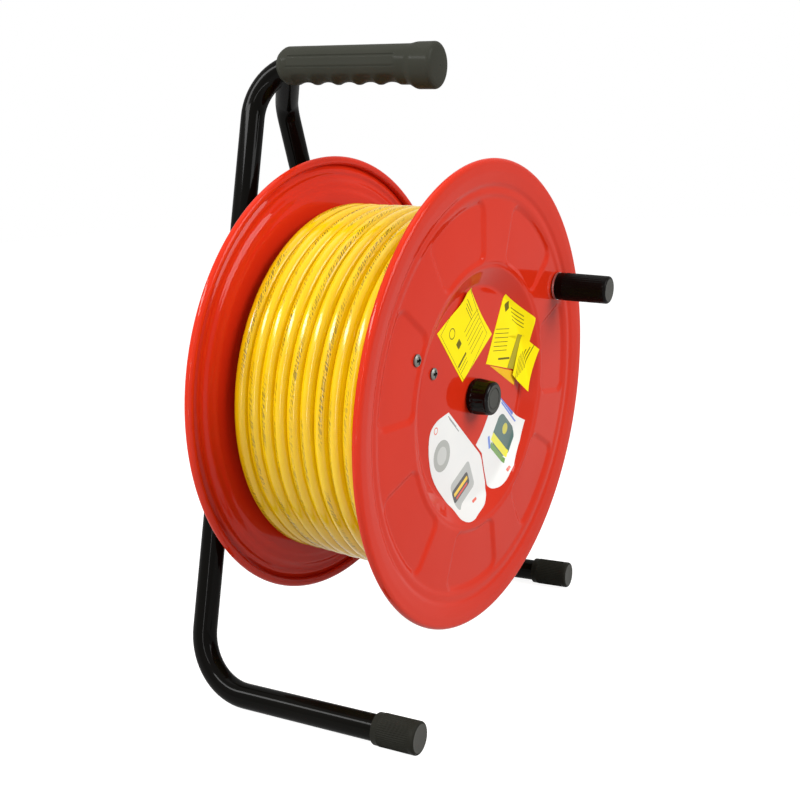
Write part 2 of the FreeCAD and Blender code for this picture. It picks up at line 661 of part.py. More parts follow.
CLAMP_HOLE = "clamp_screw_diameter / 2"
KNOB_RADIUS = "flange_radius - knob_place"
node(flange("front_flange", "-", about_axle(PAD_CENTRE), [
    front_hole(KNOB_RADIUS, "knob_angle", "stud_diameter / 2"),
    front_hole("clamp_outer", "clamp_angle", CLAMP_HOLE),
    front_hole("clamp_inner", "clamp_angle", CLAMP_HOLE),
], [front_hole(KNOB_RADIUS, "knob_angle", "knob_seat_diameter / 2")]), "front_flange")
OUTLETS = ring_of("outlet_count", "outlet_place", "outlet_angle")
PLATE_SCREWS = ring_of("plate_screw_count", "plate_screw_place", "plate_screw_angle")
BUTTON = polar("outlet_place", "button_angle")
node(flange("rear_flange", "", AXLE, (
    [spot + ("outlet_diameter / 2 + outlet_gap",) for spot in OUTLETS]
    + [spot + ("plate_screw_diameter / 2",) for spot in PLATE_SCREWS]
    + [BUTTON + ("button_diameter / 2 + button_gap",)]
), pads=False), "rear_flange")

# Drum core between the flanges' flat middles, with a gate for the cord clamp
CORE_END = "dish_face - sheet_metal"
core = turned("core_blank", [
    ("core_radius - sheet_metal", "-(%s)" % CORE_END), ("core_radius", "-(%s)" % CORE_END),
    ("core_radius", CORE_END), ("core_radius - sheet_metal", CORE_END),
], AXLE)
CLAMP_NUT_FACE = "clamp_bar_face - clamp_bar_thickness"
gate = doc.addObject("Part::Box", "clamp_gate")
GATE_INNER = "clamp_inner - clamp_bar_overhang - clamp_room"
GATE_DEPTH = "clamp_bar_thickness + clamp_nut_height + 2 * clamp_room"
tie(gate, Length="clamp_outer + clamp_bar_overhang + clamp_room - (%s)" % GATE_INNER,
    Width="field_face - clamp_bar_face + " + GATE_DEPTH, Height="clamp_bar_width + 2 * clamp_room")
gate.Placement = about_axle(worth("clamp_angle")) * FreeCAD.Placement(
    V(worth(GATE_INNER), -worth("field_face"), -worth("clamp_bar_width / 2 + clamp_room")), ROTATION())
node(cut_away("drum_core", core, [gate]), "drum_core")

# Bushes pressed into the flanges, running on the axle
for label, side in (("front_bush", "-"), ("rear_bush", "")):
    rim_at = "%s(dish_face)" % side
    collar_at = "%s(dish_face - sheet_metal)" % side
    collar_end = "%s(dish_face - sheet_metal - bush_collar)" % side
    end_at = "%s(dish_face - bush_length)" % side
    node(turned(label, [
        ("axle_diameter / 2 + running_gap", rim_at), ("bush_diameter / 2", rim_at),
        ("bush_diameter / 2", collar_at), ("bush_collar_diameter / 2", collar_at),
        ("bush_collar_diameter / 2", collar_end), ("bush_diameter / 2", collar_end),
        ("bush_diameter / 2", end_at), ("axle_diameter / 2 + running_gap", end_at),
    ], AXLE), label)

# Winding knob: stud with a flat head behind the flange, bright washer, sleeve, clip and end cap
KNOB = on_drum(worth(KNOB_RADIUS), worth("knob_angle"))
KNOB_PAD = "field_face + ring_height"
KNOB_SEAT = KNOB_PAD + " + knob_washer_thickness"
KNOB_BASE = "%s + end_play" % KNOB_SEAT
KNOB_FLOOR = "knob_end - knob_recess"
STUD_END = "knob_end - knob_cap_thickness - stud_end_gap"
STUD_BASE = "field_face - sheet_metal"
node(turned("knob_stud", [
    ("0", "-(%s - stud_head)" % STUD_BASE), ("stud_head_diameter / 2", "-(%s - stud_head)" % STUD_BASE),
    ("stud_head_diameter / 2", "-(%s)" % STUD_BASE), ("stud_diameter / 2", "-(%s)" % STUD_BASE),
    ("stud_diameter / 2", "-(%s)" % STUD_END), ("0", "-(%s)" % STUD_END),
], KNOB), "knob_stud")
node(turned("knob_washer", [
    ("stud_diameter / 2", "-(%s)" % KNOB_PAD), ("knob_washer_diameter / 2", "-(%s)" % KNOB_PAD),
    ("knob_washer_diameter / 2", "-(%s)" % KNOB_SEAT), ("stud_diameter / 2", "-(%s)" % KNOB_SEAT),
], KNOB), "knob_washer")
node(turned("knob_clip", [
    ("stud_diameter / 2", "-(%s + end_play)" % KNOB_FLOOR),
    ("clip_diameter / 2", "-(%s + end_play)" % KNOB_FLOOR),
    ("clip_diameter / 2", "-(%s + end_play + clip_thickness)" % KNOB_FLOOR),
    ("stud_diameter / 2", "-(%s + end_play + clip_thickness)" % KNOB_FLOOR),
], KNOB), "knob_clip")
node(turned("winding_knob", [
    ("stud_diameter / 2 + running_gap", "-(%s)" % KNOB_BASE),
    ("knob_diameter / 2 - edge_chamfer", "-(%s)" % KNOB_BASE),
    ("knob_diameter / 2", "-(%s + edge_chamfer)" % KNOB_BASE),
    ("knob_nose / 2", "-(knob_end - knob_rounding)"), ("knob_nose / 2 - knob_rounding", "-(knob_end)"),
    ("knob_cap_diameter / 2", "-(knob_end)"), ("knob_cap_diameter / 2", "-(knob_end - knob_cap_thickness)"),
    ("clip_diameter / 2 + clip_room", "-(knob_end - knob_cap_thickness)"),
    ("clip_diameter / 2 + clip_room", "-(%s)" % KNOB_FLOOR),
    ("stud_diameter / 2 + running_gap", "-(%s)" % KNOB_FLOOR),
], KNOB), "winding_knob")
node(turned("knob_end_cap", [
    ("0", "-(knob_end - knob_cap_thickness)"),
    ("knob_cap_diameter / 2", "-(knob_end - knob_cap_thickness)"),
    ("knob_cap_diameter / 2", "-(knob_end)"), ("0", "-(knob_end)"),
], KNOB), "knob_end_cap")

# Outer layer of the cord: one tube that winds to the rear, climbs over itself and runs into the plug
CORD = worth("cord_diameter") / 2
LAYER = worth("winding_radius") - CORD
PLUG_LINE = worth("winding_radius + plug_rest + plug_diameter / 2")
FIRST = math.radians(worth("first_turn_angle"))
TURNS = round((worth("winding_edge") - CORD) * 2 / worth("turn_pitch"))
LAST = math.radians(worth("last_turn_angle")) + 2 * math.pi * TURNS
FIRST_PLACE = CORD - worth("winding_edge")
RISE = worth("turn_pitch") / (2 * math.pi)
LAST_PLACE = FIRST_PLACE + RISE * (LAST - FIRST)
TAIL_TURN = math.radians(worth("tail_angle"))
TAIL_BACK = worth("plug_rear + sleeve_length + cord_diameter")
TAIL_RADIUS = math.hypot(PLUG_LINE, TAIL_BACK)
TAIL_END = TAIL_TURN - math.atan(TAIL_BACK / PLUG_LINE) + 2 * math.pi * TURNS


def at_angle(radius, along, angle):
    return V(radius * math.cos(angle), along, radius * math.sin(angle))


def winding_point(angle):
    return at_angle(LAYER, FIRST_PLACE + RISE * (angle - FIRST), angle)


def winding_heading(angle):
    return V(-LAYER * math.sin(angle), RISE, LAYER * math.cos(angle)).normalize()


def smooth(share):
    share = min(max(share, 0), 1)
    return share * share * (3 - 2 * share)


def tail_point(share):
    """The tail from the last turn, at share 0, to the straight run into the plug, at share 1."""
    end_slope = -TAIL_RADIUS * (TAIL_BACK / PLUG_LINE) * (TAIL_END - LAST)
    radius = LAYER + (TAIL_RADIUS - LAYER) * smooth(share) + end_slope * (share ** 3 - share ** 2)
    wait = worth("tail_wait")
    along = LAST_PLACE + (worth("tail_place") - LAST_PLACE) * smooth((share - wait) / (1 - wait))
    return at_angle(radius, along, LAST + (TAIL_END - LAST) * share)


def tail_heading(share):
    step = 1e-4
    low, high = max(share - step, 0), min(share + step, 1)
    return (tail_point(high) - tail_point(low)).normalize()


def arc_through(start, control, end):
    """The arc from start to end that leaves towards control."""
    middle = (start + end) / 2
    half = (end - start).Length / 2
    rise = (control - middle).Length
    if rise < 1e-7:
        return Part.LineSegment(start, end).toShape()
    sagitta = half * math.tan(math.atan2(rise, half) / 2)
    return Part.Arc(start, middle + (control - middle) * (sagitta / rise), end).toShape()


def biarc(start, heading, end, arrival):
    """Two arcs that meet smoothly between two points with given headings."""
    span = end - start
    both = heading + arrival
    across = span.dot(both)
    spread = 4 - both.dot(both)
    reach = (math.sqrt(across ** 2 + spread * span.dot(span)) - across) / spread
    first = start + heading * reach
    last = end - arrival * reach
    join = (first + last) / 2
    return [arc_through(start, first, join), arc_through(join, last, end)]


QUARTERS = 4 * TURNS
stations = [FIRST + (LAST - FIRST) * k / QUARTERS for k in range(QUARTERS + 1)]
TAIL_SPANS = 4
TAU = V(-math.sin(TAIL_TURN), 0, math.cos(TAIL_TURN))
start_point = winding_point(FIRST)
start_heading = winding_heading(FIRST)
stub_start = start_point - start_heading * worth("stub_length")
cord_edges = [Part.LineSegment(stub_start, start_point).toShape()]
for begin, finish in zip(stations, stations[1:]):
    cord_edges += biarc(winding_point(begin), winding_heading(begin),
                        winding_point(finish), winding_heading(finish))
shares = [k / TAIL_SPANS for k in range(TAIL_SPANS + 1)]
headings = [winding_heading(LAST)] + [tail_heading(share) for share in shares[1:-1]] + [TAU]
for k in range(TAIL_SPANS):
    cord_edges += biarc(tail_point(shares[k]), headings[k], tail_point(shares[k + 1]), headings[k + 1])
tail_tip = tail_point(1) + TAU * worth("cord_diameter")
cord_edges.append(Part.LineSegment(tail_point(1), tail_tip).toShape())
outer_layer = feature("cord_outer_layer", pipe(cord_edges, CORD))
outer_layer.Placement = AXLE
node(outer_layer, "cord_outer_layer")

# Least gap of that tube to itself, and its volume against its section times its length
cord_wire = Part.Wire(cord_edges)
SAMPLES_A_TURN = 360
samples = SAMPLES_A_TURN * (TURNS + 1)
dots = cord_wire.discretize(samples)
turn_steps = round(2 * math.pi * LAYER * samples / cord_wire.Length)
near_turn = range(turn_steps - SAMPLES_A_TURN // 8, turn_steps + SAMPLES_A_TURN // 8)
least = min((dots[i] - dots[i + k]).Length for k in near_turn for i in range(samples - k))
print("cord outer layer: least gap to itself %.2f mm" % (least - 2 * CORD))
print("cord outer layer: length %.0f mm, volume share %.5f" % (
    cord_wire.Length, outer_layer.Shape.Volume / (math.pi * CORD ** 2 * cord_wire.Length)))

# Layers of cord under the outer one, as a plain core with a square climb for the outer layer's start
PACK_OUT = "winding_radius - cord_diameter - pack_gap"
PACK_END = "dish_face - sheet_metal - pack_end_gap"
pack = turned("pack_blank", [
    ("core_radius + pack_bore_gap", "-(%s)" % PACK_END), ("dish_inner", "-(%s)" % PACK_END),
    ("dish_outer", "-(winding_edge)"), (PACK_OUT, "-(winding_edge)"),
    (PACK_OUT, "winding_edge"), ("dish_outer", "winding_edge"),
    ("dish_inner", PACK_END), ("core_radius + pack_bore_gap", PACK_END),
], AXLE)
climb = doc.addObject("Part::Box", "climb")
tie(climb, Length="heel_length", Width="cord_diameter", Height="cord_diameter * heel_depth")
climb_turn = ROTATION(-start_heading, V(0, 1, 0), at_angle(1, 0, FIRST), "XZY")
climb_place = FreeCAD.Placement(stub_start, climb_turn)
climb.Placement = AXLE * climb_place * FreeCAD.Placement(V(0, -CORD, -2 * CORD), ROTATION())
pack_with_climb = doc.addObject("Part::Fuse", "pack_with_climb")
pack_with_climb.Base = pack
pack_with_climb.Tool = climb
node(cut_away("cord_inner_layers", pack_with_climb, [gate]), "cord_inner_layers")

# Plug parked on the winding
PLUG_PLACE = AXLE * FreeCAD.Placement(
    at_angle(PLUG_LINE, 0, TAIL_TURN) + V(0, worth("tail_place"), 0),
    ROTATION(V(0, 1, 0), TAU))
node(turned("plug_body", [
    ("0", "-(plug_rear + sleeve_length)"), ("sleeve_end_diameter / 2", "-(plug_rear + sleeve_length)"),
    ("sleeve_diameter / 2", "-(plug_rear)"), ("plug_diameter / 2 - plug_shoulder", "-(plug_rear)"),
    ("plug_diameter / 2", "plug_shoulder - plug_rear"), ("plug_diameter / 2", "plug_front - edge_chamfer"),
    ("plug_diameter / 2 - edge_chamfer", "plug_front"), ("0", "plug_front"),
], PLUG_PLACE), "plug_body")
pins = []
for number, side in ((1, -1), (2, 1)):
    pins.append(turned("plug_pin_%d" % number, [
        ("0", "plug_front"), ("pin_diameter / 2", "plug_front"),
        ("pin_diameter / 2", "plug_front + pin_length - edge_chamfer"),
        ("pin_diameter / 2 - edge_chamfer", "plug_front + pin_length"), ("0", "plug_front + pin_length"),
    ], PLUG_PLACE * FreeCAD.Placement(V(0, 0, side * worth("pin_spacing") / 2), ROTATION())))
node(group("plug_pins", pins), "plug_pins")

# Cord clamp behind the front flange: a bar on two screws with nuts
clamp_bar = doc.addObject("Part::Box", "clamp_bar")
tie(clamp_bar, Length="clamp_outer - clamp_inner + 2 * clamp_bar_overhang", Width="clamp_bar_thickness",
    Height="clamp_bar_width")
clamp_bar.Placement = about_axle(worth("clamp_angle")) * FreeCAD.Placement(
    V(worth("clamp_inner - clamp_bar_overhang"), -worth("clamp_bar_face"), -worth("clamp_bar_width") / 2),
    ROTATION())
clamp_screws = []
clamp_nuts = []
clamp_holes = []
for number, (radius, seat) in enumerate((("clamp_outer", "field_face - pad_depth"),
                                         ("clamp_inner", "dish_face")), 1):
    spot = on_drum(worth(radius), worth("clamp_angle"))
    tip = "%s - clamp_nut_height - clamp_screw_nose" % CLAMP_NUT_FACE
    clamp_screws.append(turned("clamp_screw_%d" % number, [
        ("0", "-(%s + clamp_head_height)" % seat),
        ("clamp_head_diameter / 3", "-(%s + clamp_head_height)" % seat),
        ("clamp_head_diameter / 2", "-(%s + clamp_head_height / 3)" % seat),
        ("clamp_head_diameter / 2", "-(%s)" % seat), ("clamp_screw_diameter / 2", "-(%s)" % seat),
        ("clamp_screw_diameter / 2", "-(%s)" % tip), ("0", "-(%s)" % tip),
    ], spot))
    hole = doc.addObject("Part::Cylinder", "clamp_hole_%d" % number)
    tie(hole, Radius="clamp_screw_diameter / 2", Height="3 * clamp_bar_thickness")
    hole.Placement = spot * FreeCAD.Placement(V(0, -worth(CLAMP_NUT_FACE), 0), ROTATION()) * OUTWARDS
    clamp_holes.append(hole)
    nut_base = V(0, worth("clamp_nut_height") - worth(CLAMP_NUT_FACE), 0)
    nut_place = spot * FreeCAD.Placement(nut_base, ROTATION()) * OUTWARDS
    clamp_nuts.append(nut("clamp_nut_%d" % number, "clamp_nut_width", "clamp_nut_height",
                          "clamp_screw_diameter / 2", nut_place))
node(cut_away("cord_clamp_bar", clamp_bar, clamp_holes), "cord_clamp_bar")
node(group("cord_clamp_screws", clamp_screws), "cord_clamp_screws")
node(group("cord_clamp_nuts", clamp_nuts), "cord_clamp_nuts")

# Outlet plate, outlets, plate screws, cut-out and its button on the rear flange
PLATE_FACE = "dish_face + outlet_plate_thickness"
plate = turned("outlet_plate", [
    ("outlet_plate_bore", "dish_face"), ("outlet_plate_radius", "dish_face"),
    ("outlet_plate_radius", "%s - edge_chamfer" % PLATE_FACE),
    ("outlet_plate_radius - edge_chamfer", PLATE_FACE),
    ("outlet_plate_bore", PLATE_FACE),
], AXLE)
plate.Tip = drill(plate, "outlet_plate_holes", (
    [spot + ("outlet_diameter / 2 + outlet_gap",) for spot in OUTLETS]
    + [spot + ("plate_screw_diameter / 2",) for spot in PLATE_SCREWS]
    + [BUTTON + ("button_diameter / 2 + button_gap",)]
))
node(plate, "outlet_plate")


def blade_slots(sketch):
    for side in ("-", ""):
        inner = "%s(slot_spacing / 2 - slot_width / 2)" % side
        outer = "%s(slot_spacing / 2 + slot_width / 2)" % side
        corners = [(inner, "-(slot_length / 2)"), (outer, "-(slot_length / 2)"),
                   (outer, "slot_length / 2"), (inner, "slot_length / 2")]
        add_outline(sketch, corners)
    add_circle(sketch, "0", "-(earth_drop)", "earth_diameter / 2")


outlets = []
for number in range(int(worth("outlet_count"))):
    angle = worth("outlet_angle") + number * 360 / worth("outlet_count")
    outlet = turned("outlet_%d" % (number + 1), [
        ("0", "-(outlet_depth)"), ("outlet_diameter / 2", "-(outlet_depth)"), ("outlet_diameter / 2", "0"),
        ("outlet_lip_diameter / 2", "0"), ("outlet_lip_diameter / 2", "outlet_lip - edge_chamfer / 2"),
        ("outlet_lip_diameter / 2 - edge_chamfer / 2", "outlet_lip"), ("0", "outlet_lip"),
    ], about_axle(angle) * FreeCAD.Placement(V(worth("outlet_place"), worth(PLATE_FACE), 0), ROTATION()))
    slots = pocket(outlet, "outlet_slots_%d" % (number + 1), "XZ_Plane", blade_slots,
                   depth="slot_depth", reverse=True)
    slots.Profile[0].setExpression("AttachmentOffset.Base.z", bound("-outlet_lip"))
    outlets.append(outlet)
node(group("outlets", outlets), "outlets")
plate_screws = []
for number in range(int(worth("plate_screw_count"))):
    angle = worth("plate_screw_angle") + number * 360 / worth("plate_screw_count")
    plate_screws.append(turned("plate_screw_%d" % (number + 1), [
        ("0", "-(plate_screw_length)"), ("plate_screw_diameter / 2", "-(plate_screw_length)"),
        ("plate_screw_diameter / 2", "0"), ("plate_screw_head_diameter / 2", "0"),
        ("plate_screw_head_diameter / 2", "plate_screw_head_height / 3"),
        ("plate_screw_head_diameter / 3", "plate_screw_head_height"), ("0", "plate_screw_head_height"),
    ], on_drum(worth("plate_screw_place"), angle, worth(PLATE_FACE))))
node(group("outlet_plate_screws", plate_screws), "outlet_plate_screws")
BUTTON_PLACE = on_drum(worth("outlet_place"), worth("button_angle"))
BUTTON_END = "%s + button_stand" % PLATE_FACE
BUTTON_BACK = "%s - button_length" % BUTTON_END
node(turned("cutout_button", [
    ("0", BUTTON_BACK), ("button_diameter / 2", BUTTON_BACK),
    ("button_diameter / 2", "%s - edge_chamfer" % BUTTON_END),
    ("button_diameter / 2 - edge_chamfer", BUTTON_END), ("0", BUTTON_END),
], BUTTON_PLACE), "cutout_button")
case = doc.addObject("Part::Box", "cutout_block")
tie(case, Length="cutout_width", Width="cutout_depth", Height="cutout_width")
CASE_HALF = worth("cutout_width") / 2
case.Placement = BUTTON_PLACE * FreeCAD.Placement(
    V(-CASE_HALF, worth(CORE_END) - worth("cutout_depth"), -CASE_HALF), ROTATION())
well = doc.addObject("Part::Cylinder", "cutout_well")
tie(well, Radius="button_diameter / 2 + button_gap", Height="button_length")
WELL_FLOOR = "%s - button_travel - end_play" % BUTTON_BACK
well.Placement = BUTTON_PLACE * FreeCAD.Placement(V(0, worth(WELL_FLOOR), 0), ROTATION(V(1, 0, 0), -90))
node(cut_away("cutout_case", case, [well]), "cutout_case")

# Checks, then one file for each piece
doc.recompute()
for item in doc.Objects:
    wrong = {"Invalid", "Error"} & set(item.State)
    if wrong:
        raise ValueError("%s: %s" % (item.Label, item.State))
for name, item in NODES.items():
    shape = item.Shape
    if shape.isNull() or not shape.isValid() or not shape.Solids:
        raise ValueError("%s has no sound solid" % name)
os.makedirs("parts", exist_ok=True)
for name, item in NODES.items():
    item.Shape.exportStep("parts/%s.step" % name)
whole = FreeCAD.BoundBox()
for item in NODES.values():
    whole.add(item.Shape.optimalBoundingBox(False, False))
print("%d nodes, box X %.1f..%.1f Y %.1f..%.1f Z %.1f..%.1f" % (
    len(NODES), whole.XMin, whole.XMax, whole.YMin, whole.YMax, whole.ZMin, whole.ZMax))
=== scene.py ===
"""Looks of an extension cord reel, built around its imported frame.

Lengths in the classes are millimetres and angles are degrees; those of the studio and the shaders are metres.
Meshes are made in metres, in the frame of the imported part: the floor at height 0, the drum's front flange
towards -Y and +Z up.
"""

import logging
import math
from dataclasses import dataclass
from enum import Enum
from functools import cached_property

import bpy
import numpy as np
from mathutils import Matrix, Vector

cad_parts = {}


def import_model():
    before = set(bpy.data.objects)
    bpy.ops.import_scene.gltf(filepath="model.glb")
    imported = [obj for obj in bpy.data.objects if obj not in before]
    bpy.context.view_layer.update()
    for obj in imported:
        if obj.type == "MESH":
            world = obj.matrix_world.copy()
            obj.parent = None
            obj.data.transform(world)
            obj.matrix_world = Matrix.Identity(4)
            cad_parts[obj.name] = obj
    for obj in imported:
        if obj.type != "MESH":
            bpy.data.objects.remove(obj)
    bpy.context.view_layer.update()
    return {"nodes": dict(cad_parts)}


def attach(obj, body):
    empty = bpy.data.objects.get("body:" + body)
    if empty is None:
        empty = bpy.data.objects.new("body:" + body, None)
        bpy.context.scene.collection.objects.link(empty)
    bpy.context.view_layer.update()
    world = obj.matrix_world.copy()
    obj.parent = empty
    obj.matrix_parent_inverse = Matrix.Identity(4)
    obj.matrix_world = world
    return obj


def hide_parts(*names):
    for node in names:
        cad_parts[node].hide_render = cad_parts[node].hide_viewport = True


LOG = logging.getLogger("cord_reel")
MM = 0.001
FULL_TURN = 2 * math.pi
WHITE = (1.0, 1.0, 1.0, 1.0)

Pair = tuple[float, float]
Triple = tuple[float, float, float]
Socket = bpy.types.NodeSocket
NodeTree = bpy.types.NodeTree


class Side(Enum):
    """The two ends of the drum, by the direction along its axle."""

    FRONT = -1
    REAR = 1


class Body(Enum):
    """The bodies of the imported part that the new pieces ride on."""

    STAND = "stand"
    DRUM = "drum"
    KNOB = "winding_knob"


class Slot(Enum):
    """The record's material slots that the new pieces take their finish from."""

    DRUM_PAINT = "drum_paint"
    STEEL = "bright_steel"
    KNOB = "knob_plastic"
    GRIP = "grip_plastic"
    CAP = "cap_plastic"
    CORD = "cord_jacket"


@dataclass(frozen=True)
class Wiring:
    """Adds nodes to a shader tree and links them."""

    tree: NodeTree

    def feed(self, node: bpy.types.Node, values: dict[str | int, object]) -> bpy.types.Node:
        """Links or sets a node's inputs.

        Args:
            node: the node.
            values: a socket to link or a value to set, by the input's name or number.

        Returns:
            The node.
        """
        for key, value in values.items():
            if isinstance(value, Socket):
                self.tree.links.new(value, node.inputs[key])
            else:
                node.inputs[key].default_value = value
        return node

    def node(self, kind: str, values: dict[str | int, object], **settings: object) -> bpy.types.Node:
        """Adds a node.

        Args:
            kind: its type, without the word ShaderNode.
            values: its inputs, as feed takes them.
            settings: its own settings.

        Returns:
            The node.
        """
        made = self.tree.nodes.new("ShaderNode" + kind)
        for name, setting in settings.items():
            setattr(made, name, setting)
        return self.feed(made, values)

    def place(self) -> Socket:
        """The place on the object."""
        return self.node("TexCoord", {}).outputs["Object"]

    def layer(self, name: str) -> Socket:
        """The place on the mesh's UV layer of that name."""
        return self.node("UVMap", {}, uv_map=name).outputs["UV"]

    def maths(self, kind: str, *values: Socket | float) -> Socket:
        """The result of one operation on numbers."""
        return self.node("Math", dict(enumerate(values)), operation=kind).outputs[0]

    def vector(self, kind: str, *values: Socket) -> Socket:
        """The result of one operation on vectors, where one that is left out stays 0."""
        return self.node("VectorMath", dict(enumerate(values)), operation=kind).outputs[0]

    def parts(self, value: Socket) -> tuple[Socket, ...]:
        """The X, Y and Z of a vector."""
        return tuple(self.node("SeparateXYZ", {0: value}).outputs)

    def ramp(self, value: Socket, low: float, high: float, top: float = 1.0) -> Socket:
        """A ramp from 0, where the value is at its low end, up to a top at its high end."""
        limits = {"From Min": low, "From Max": high, "To Max": top}
        return self.node("MapRange", {"Value": value, **limits}).outputs["Result"]

    def noise(self, place: Socket, scale: Socket | float, detail: float = 2.0, line: bool = False) -> Socket:
        """Noise of about 0.5 in space or, with line, along one value."""
        values = {"W" if line else "Vector": place, "Scale": scale, "Detail": detail}
        return self.node("TexNoise", values, noise_dimensions="1D" if line else "3D").outputs["Fac"]

    def over(self, colour: Socket, cover: Socket | Triple, mask: Socket) -> Socket:
        """A colour with another one over it where the mask says so."""
        above = cover if isinstance(cover, Socket) else (*cover, 1.0)
        return self.node("Mix", {"Factor": mask, "A": colour, "B": above}, data_type="RGBA").outputs["Result"]

    def group(self, group: NodeTree, values: dict[str, object]) -> bpy.types.bpy_prop_collection:
        """Adds a node group, with its inputs as feed takes them, and gives its outputs by name."""
        return self.node("Group", values, node_tree=group).outputs

    def directly_seen(self) -> Socket:
        """Which rays see the white surroundings.

        Returns:
            A socket that is 1 for the camera's rays, mirrored ones and those through glass, and 0 for those
            that light the object.
        """
        rays = self.node("LightPath", {}).outputs
        seen = self.maths("MAXIMUM", rays["Is Camera Ray"], rays["Is Glossy Ray"])
        return self.maths("MAXIMUM", seen, rays["Is Transmission Ray"])


class NodeGroups:
    """Shader node groups that several finishes share, each built at its first use."""

    broad_share = 0.2
    broad_detail = 1.0
    drift_limits = (0.35, 0.65)
    drift_detail = 4.0
    dusty_from = 0.2
    dust_detail = 5.0

    @staticmethod
    def _start(
        name: str, given: dict[str, float | str], result: dict[str, str],
    ) -> tuple[Wiring, bpy.types.bpy_prop_collection, bpy.types.Node]:
        """Starts a group.

        Args:
            name: the group's name.
            given: its inputs, each with its default number or, for other kinds, with its kind.
            result: its outputs, each with its kind.

        Returns:
            Its wiring, the sockets of what it is given, and the node that takes its results.
        """
        tree = bpy.data.node_groups.new(name, "ShaderNodeTree")
        for label, value in given.items():
            kind = value if isinstance(value, str) else "Float"
            socket = tree.interface.new_socket(name=label, in_out="INPUT", socket_type="NodeSocket" + kind)
            if kind == "Float":
                socket.default_value = value
        for label, kind in result.items():
            tree.interface.new_socket(name=label, in_out="OUTPUT", socket_type="NodeSocket" + kind)
        return Wiring(tree), tree.nodes.new("NodeGroupInput").outputs, tree.nodes.new("NodeGroupOutput")

    @cached_property
    def grain(self) -> NodeTree:
        """Fine moulded or sprayed grain, as a height.

        Returns:
            A group with Scale and Coarse in, and Height out.
        """
        wiring, given, result = self._start(
            "fine_grain", {"Scale": 900.0, "Coarse": 0.3}, {"Height": "Float"})
        place = wiring.place()
        fine = wiring.noise(place, given["Scale"])
        broad_scale = wiring.maths("MULTIPLY", given["Scale"], self.broad_share)
        broad = wiring.noise(place, broad_scale, self.broad_detail)
        height = wiring.node("Mix", {"Factor": given["Coarse"], "A": fine, "B": broad}).outputs["Result"]
        wiring.feed(result, {"Height": height})
        return wiring.tree

    @cached_property
    def drift(self) -> NodeTree:
        """A colour that drifts a little over the surface, with a roughness that drifts with it.

        Returns:
            A group with Colour, Second Colour, Scale, Spread, Roughness and Roughness Spread in, and Colour
            and Roughness out.
        """
        wiring, given, result = self._start("colour_drift", {
            "Colour": "Color", "Second Colour": "Color", "Scale": 12.0, "Spread": 0.5, "Roughness": 0.4,
            "Roughness Spread": 0.05}, {"Colour": "Color", "Roughness": "Float"})
        noise = wiring.noise(wiring.place(), given["Scale"], self.drift_detail)
        steep = wiring.ramp(noise, *self.drift_limits)
        share = wiring.maths("MULTIPLY", steep, given["Spread"])
        wiring.feed(result, {
            "Colour": wiring.over(given["Colour"], given["Second Colour"], share),
            "Roughness": wiring.maths("MULTIPLY_ADD", steep, given["Roughness Spread"], given["Roughness"])})
        return wiring.tree

    @cached_property
    def dust(self) -> NodeTree:
        """A thin film of dust that lies on what faces upwards.

        Returns:
            A group with Amount and Scale in, and Mask out.
        """
        wiring, given, result = self._start("dust_film", {"Amount": 0.05, "Scale": 60.0}, {"Mask": "Float"})
        facing = wiring.parts(wiring.node("NewGeometry", {}).outputs["Normal"])[2]
        spots = wiring.noise(wiring.place(), given["Scale"], self.dust_detail)
        film = wiring.maths("MULTIPLY", wiring.ramp(facing, self.dusty_from, 1.0), spots)
        wiring.feed(result, {"Mask": wiring.maths("MULTIPLY", film, given["Amount"])})
        return wiring.tree

    @cached_property
    def shape(self) -> NodeTree:
        """A box with rounded corners, or its outline, as a mask.

        Returns:
            A group with Place, Centre, Half Size, Turn, Corner and Rim in, and Mask out.
        """
        wiring, given, result = self._start("printed_shape", {
            "Place": "Vector", "Centre": "Vector", "Half Size": "Vector", "Turn": 0.0, "Corner": 0.3,
            "Rim": 100.0}, {"Mask": "Float"})
        off = wiring.vector("SUBTRACT", given["Place"], given["Centre"])
        turned = wiring.node("VectorRotate", {"Vector": off, "Angle": given["Turn"]}, rotation_type="Z_AXIS")
        beyond = wiring.vector("SUBTRACT", wiring.vector("ABSOLUTE", turned.outputs[0]), given["Half Size"])
        outer = wiring.parts(wiring.vector("MAXIMUM", beyond))
        squares = [wiring.maths("MULTIPLY", side, side) for side in outer[:2]]
        outside = wiring.maths("SQRT", wiring.maths("ADD", *squares))
        nearest = wiring.maths("MINIMUM", wiring.maths("MAXIMUM", *wiring.parts(beyond)[:2]), 0.0)
        distance = wiring.maths("SUBTRACT", wiring.maths("ADD", outside, nearest), given["Corner"])
        within_rim = wiring.maths("LESS_THAN", wiring.maths("MULTIPLY", distance, -1.0), given["Rim"])
        within = wiring.maths("LESS_THAN", distance, 0.0)
        wiring.feed(result, {"Mask": wiring.maths("MULTIPLY", within, within_rim)})
        return wiring.tree


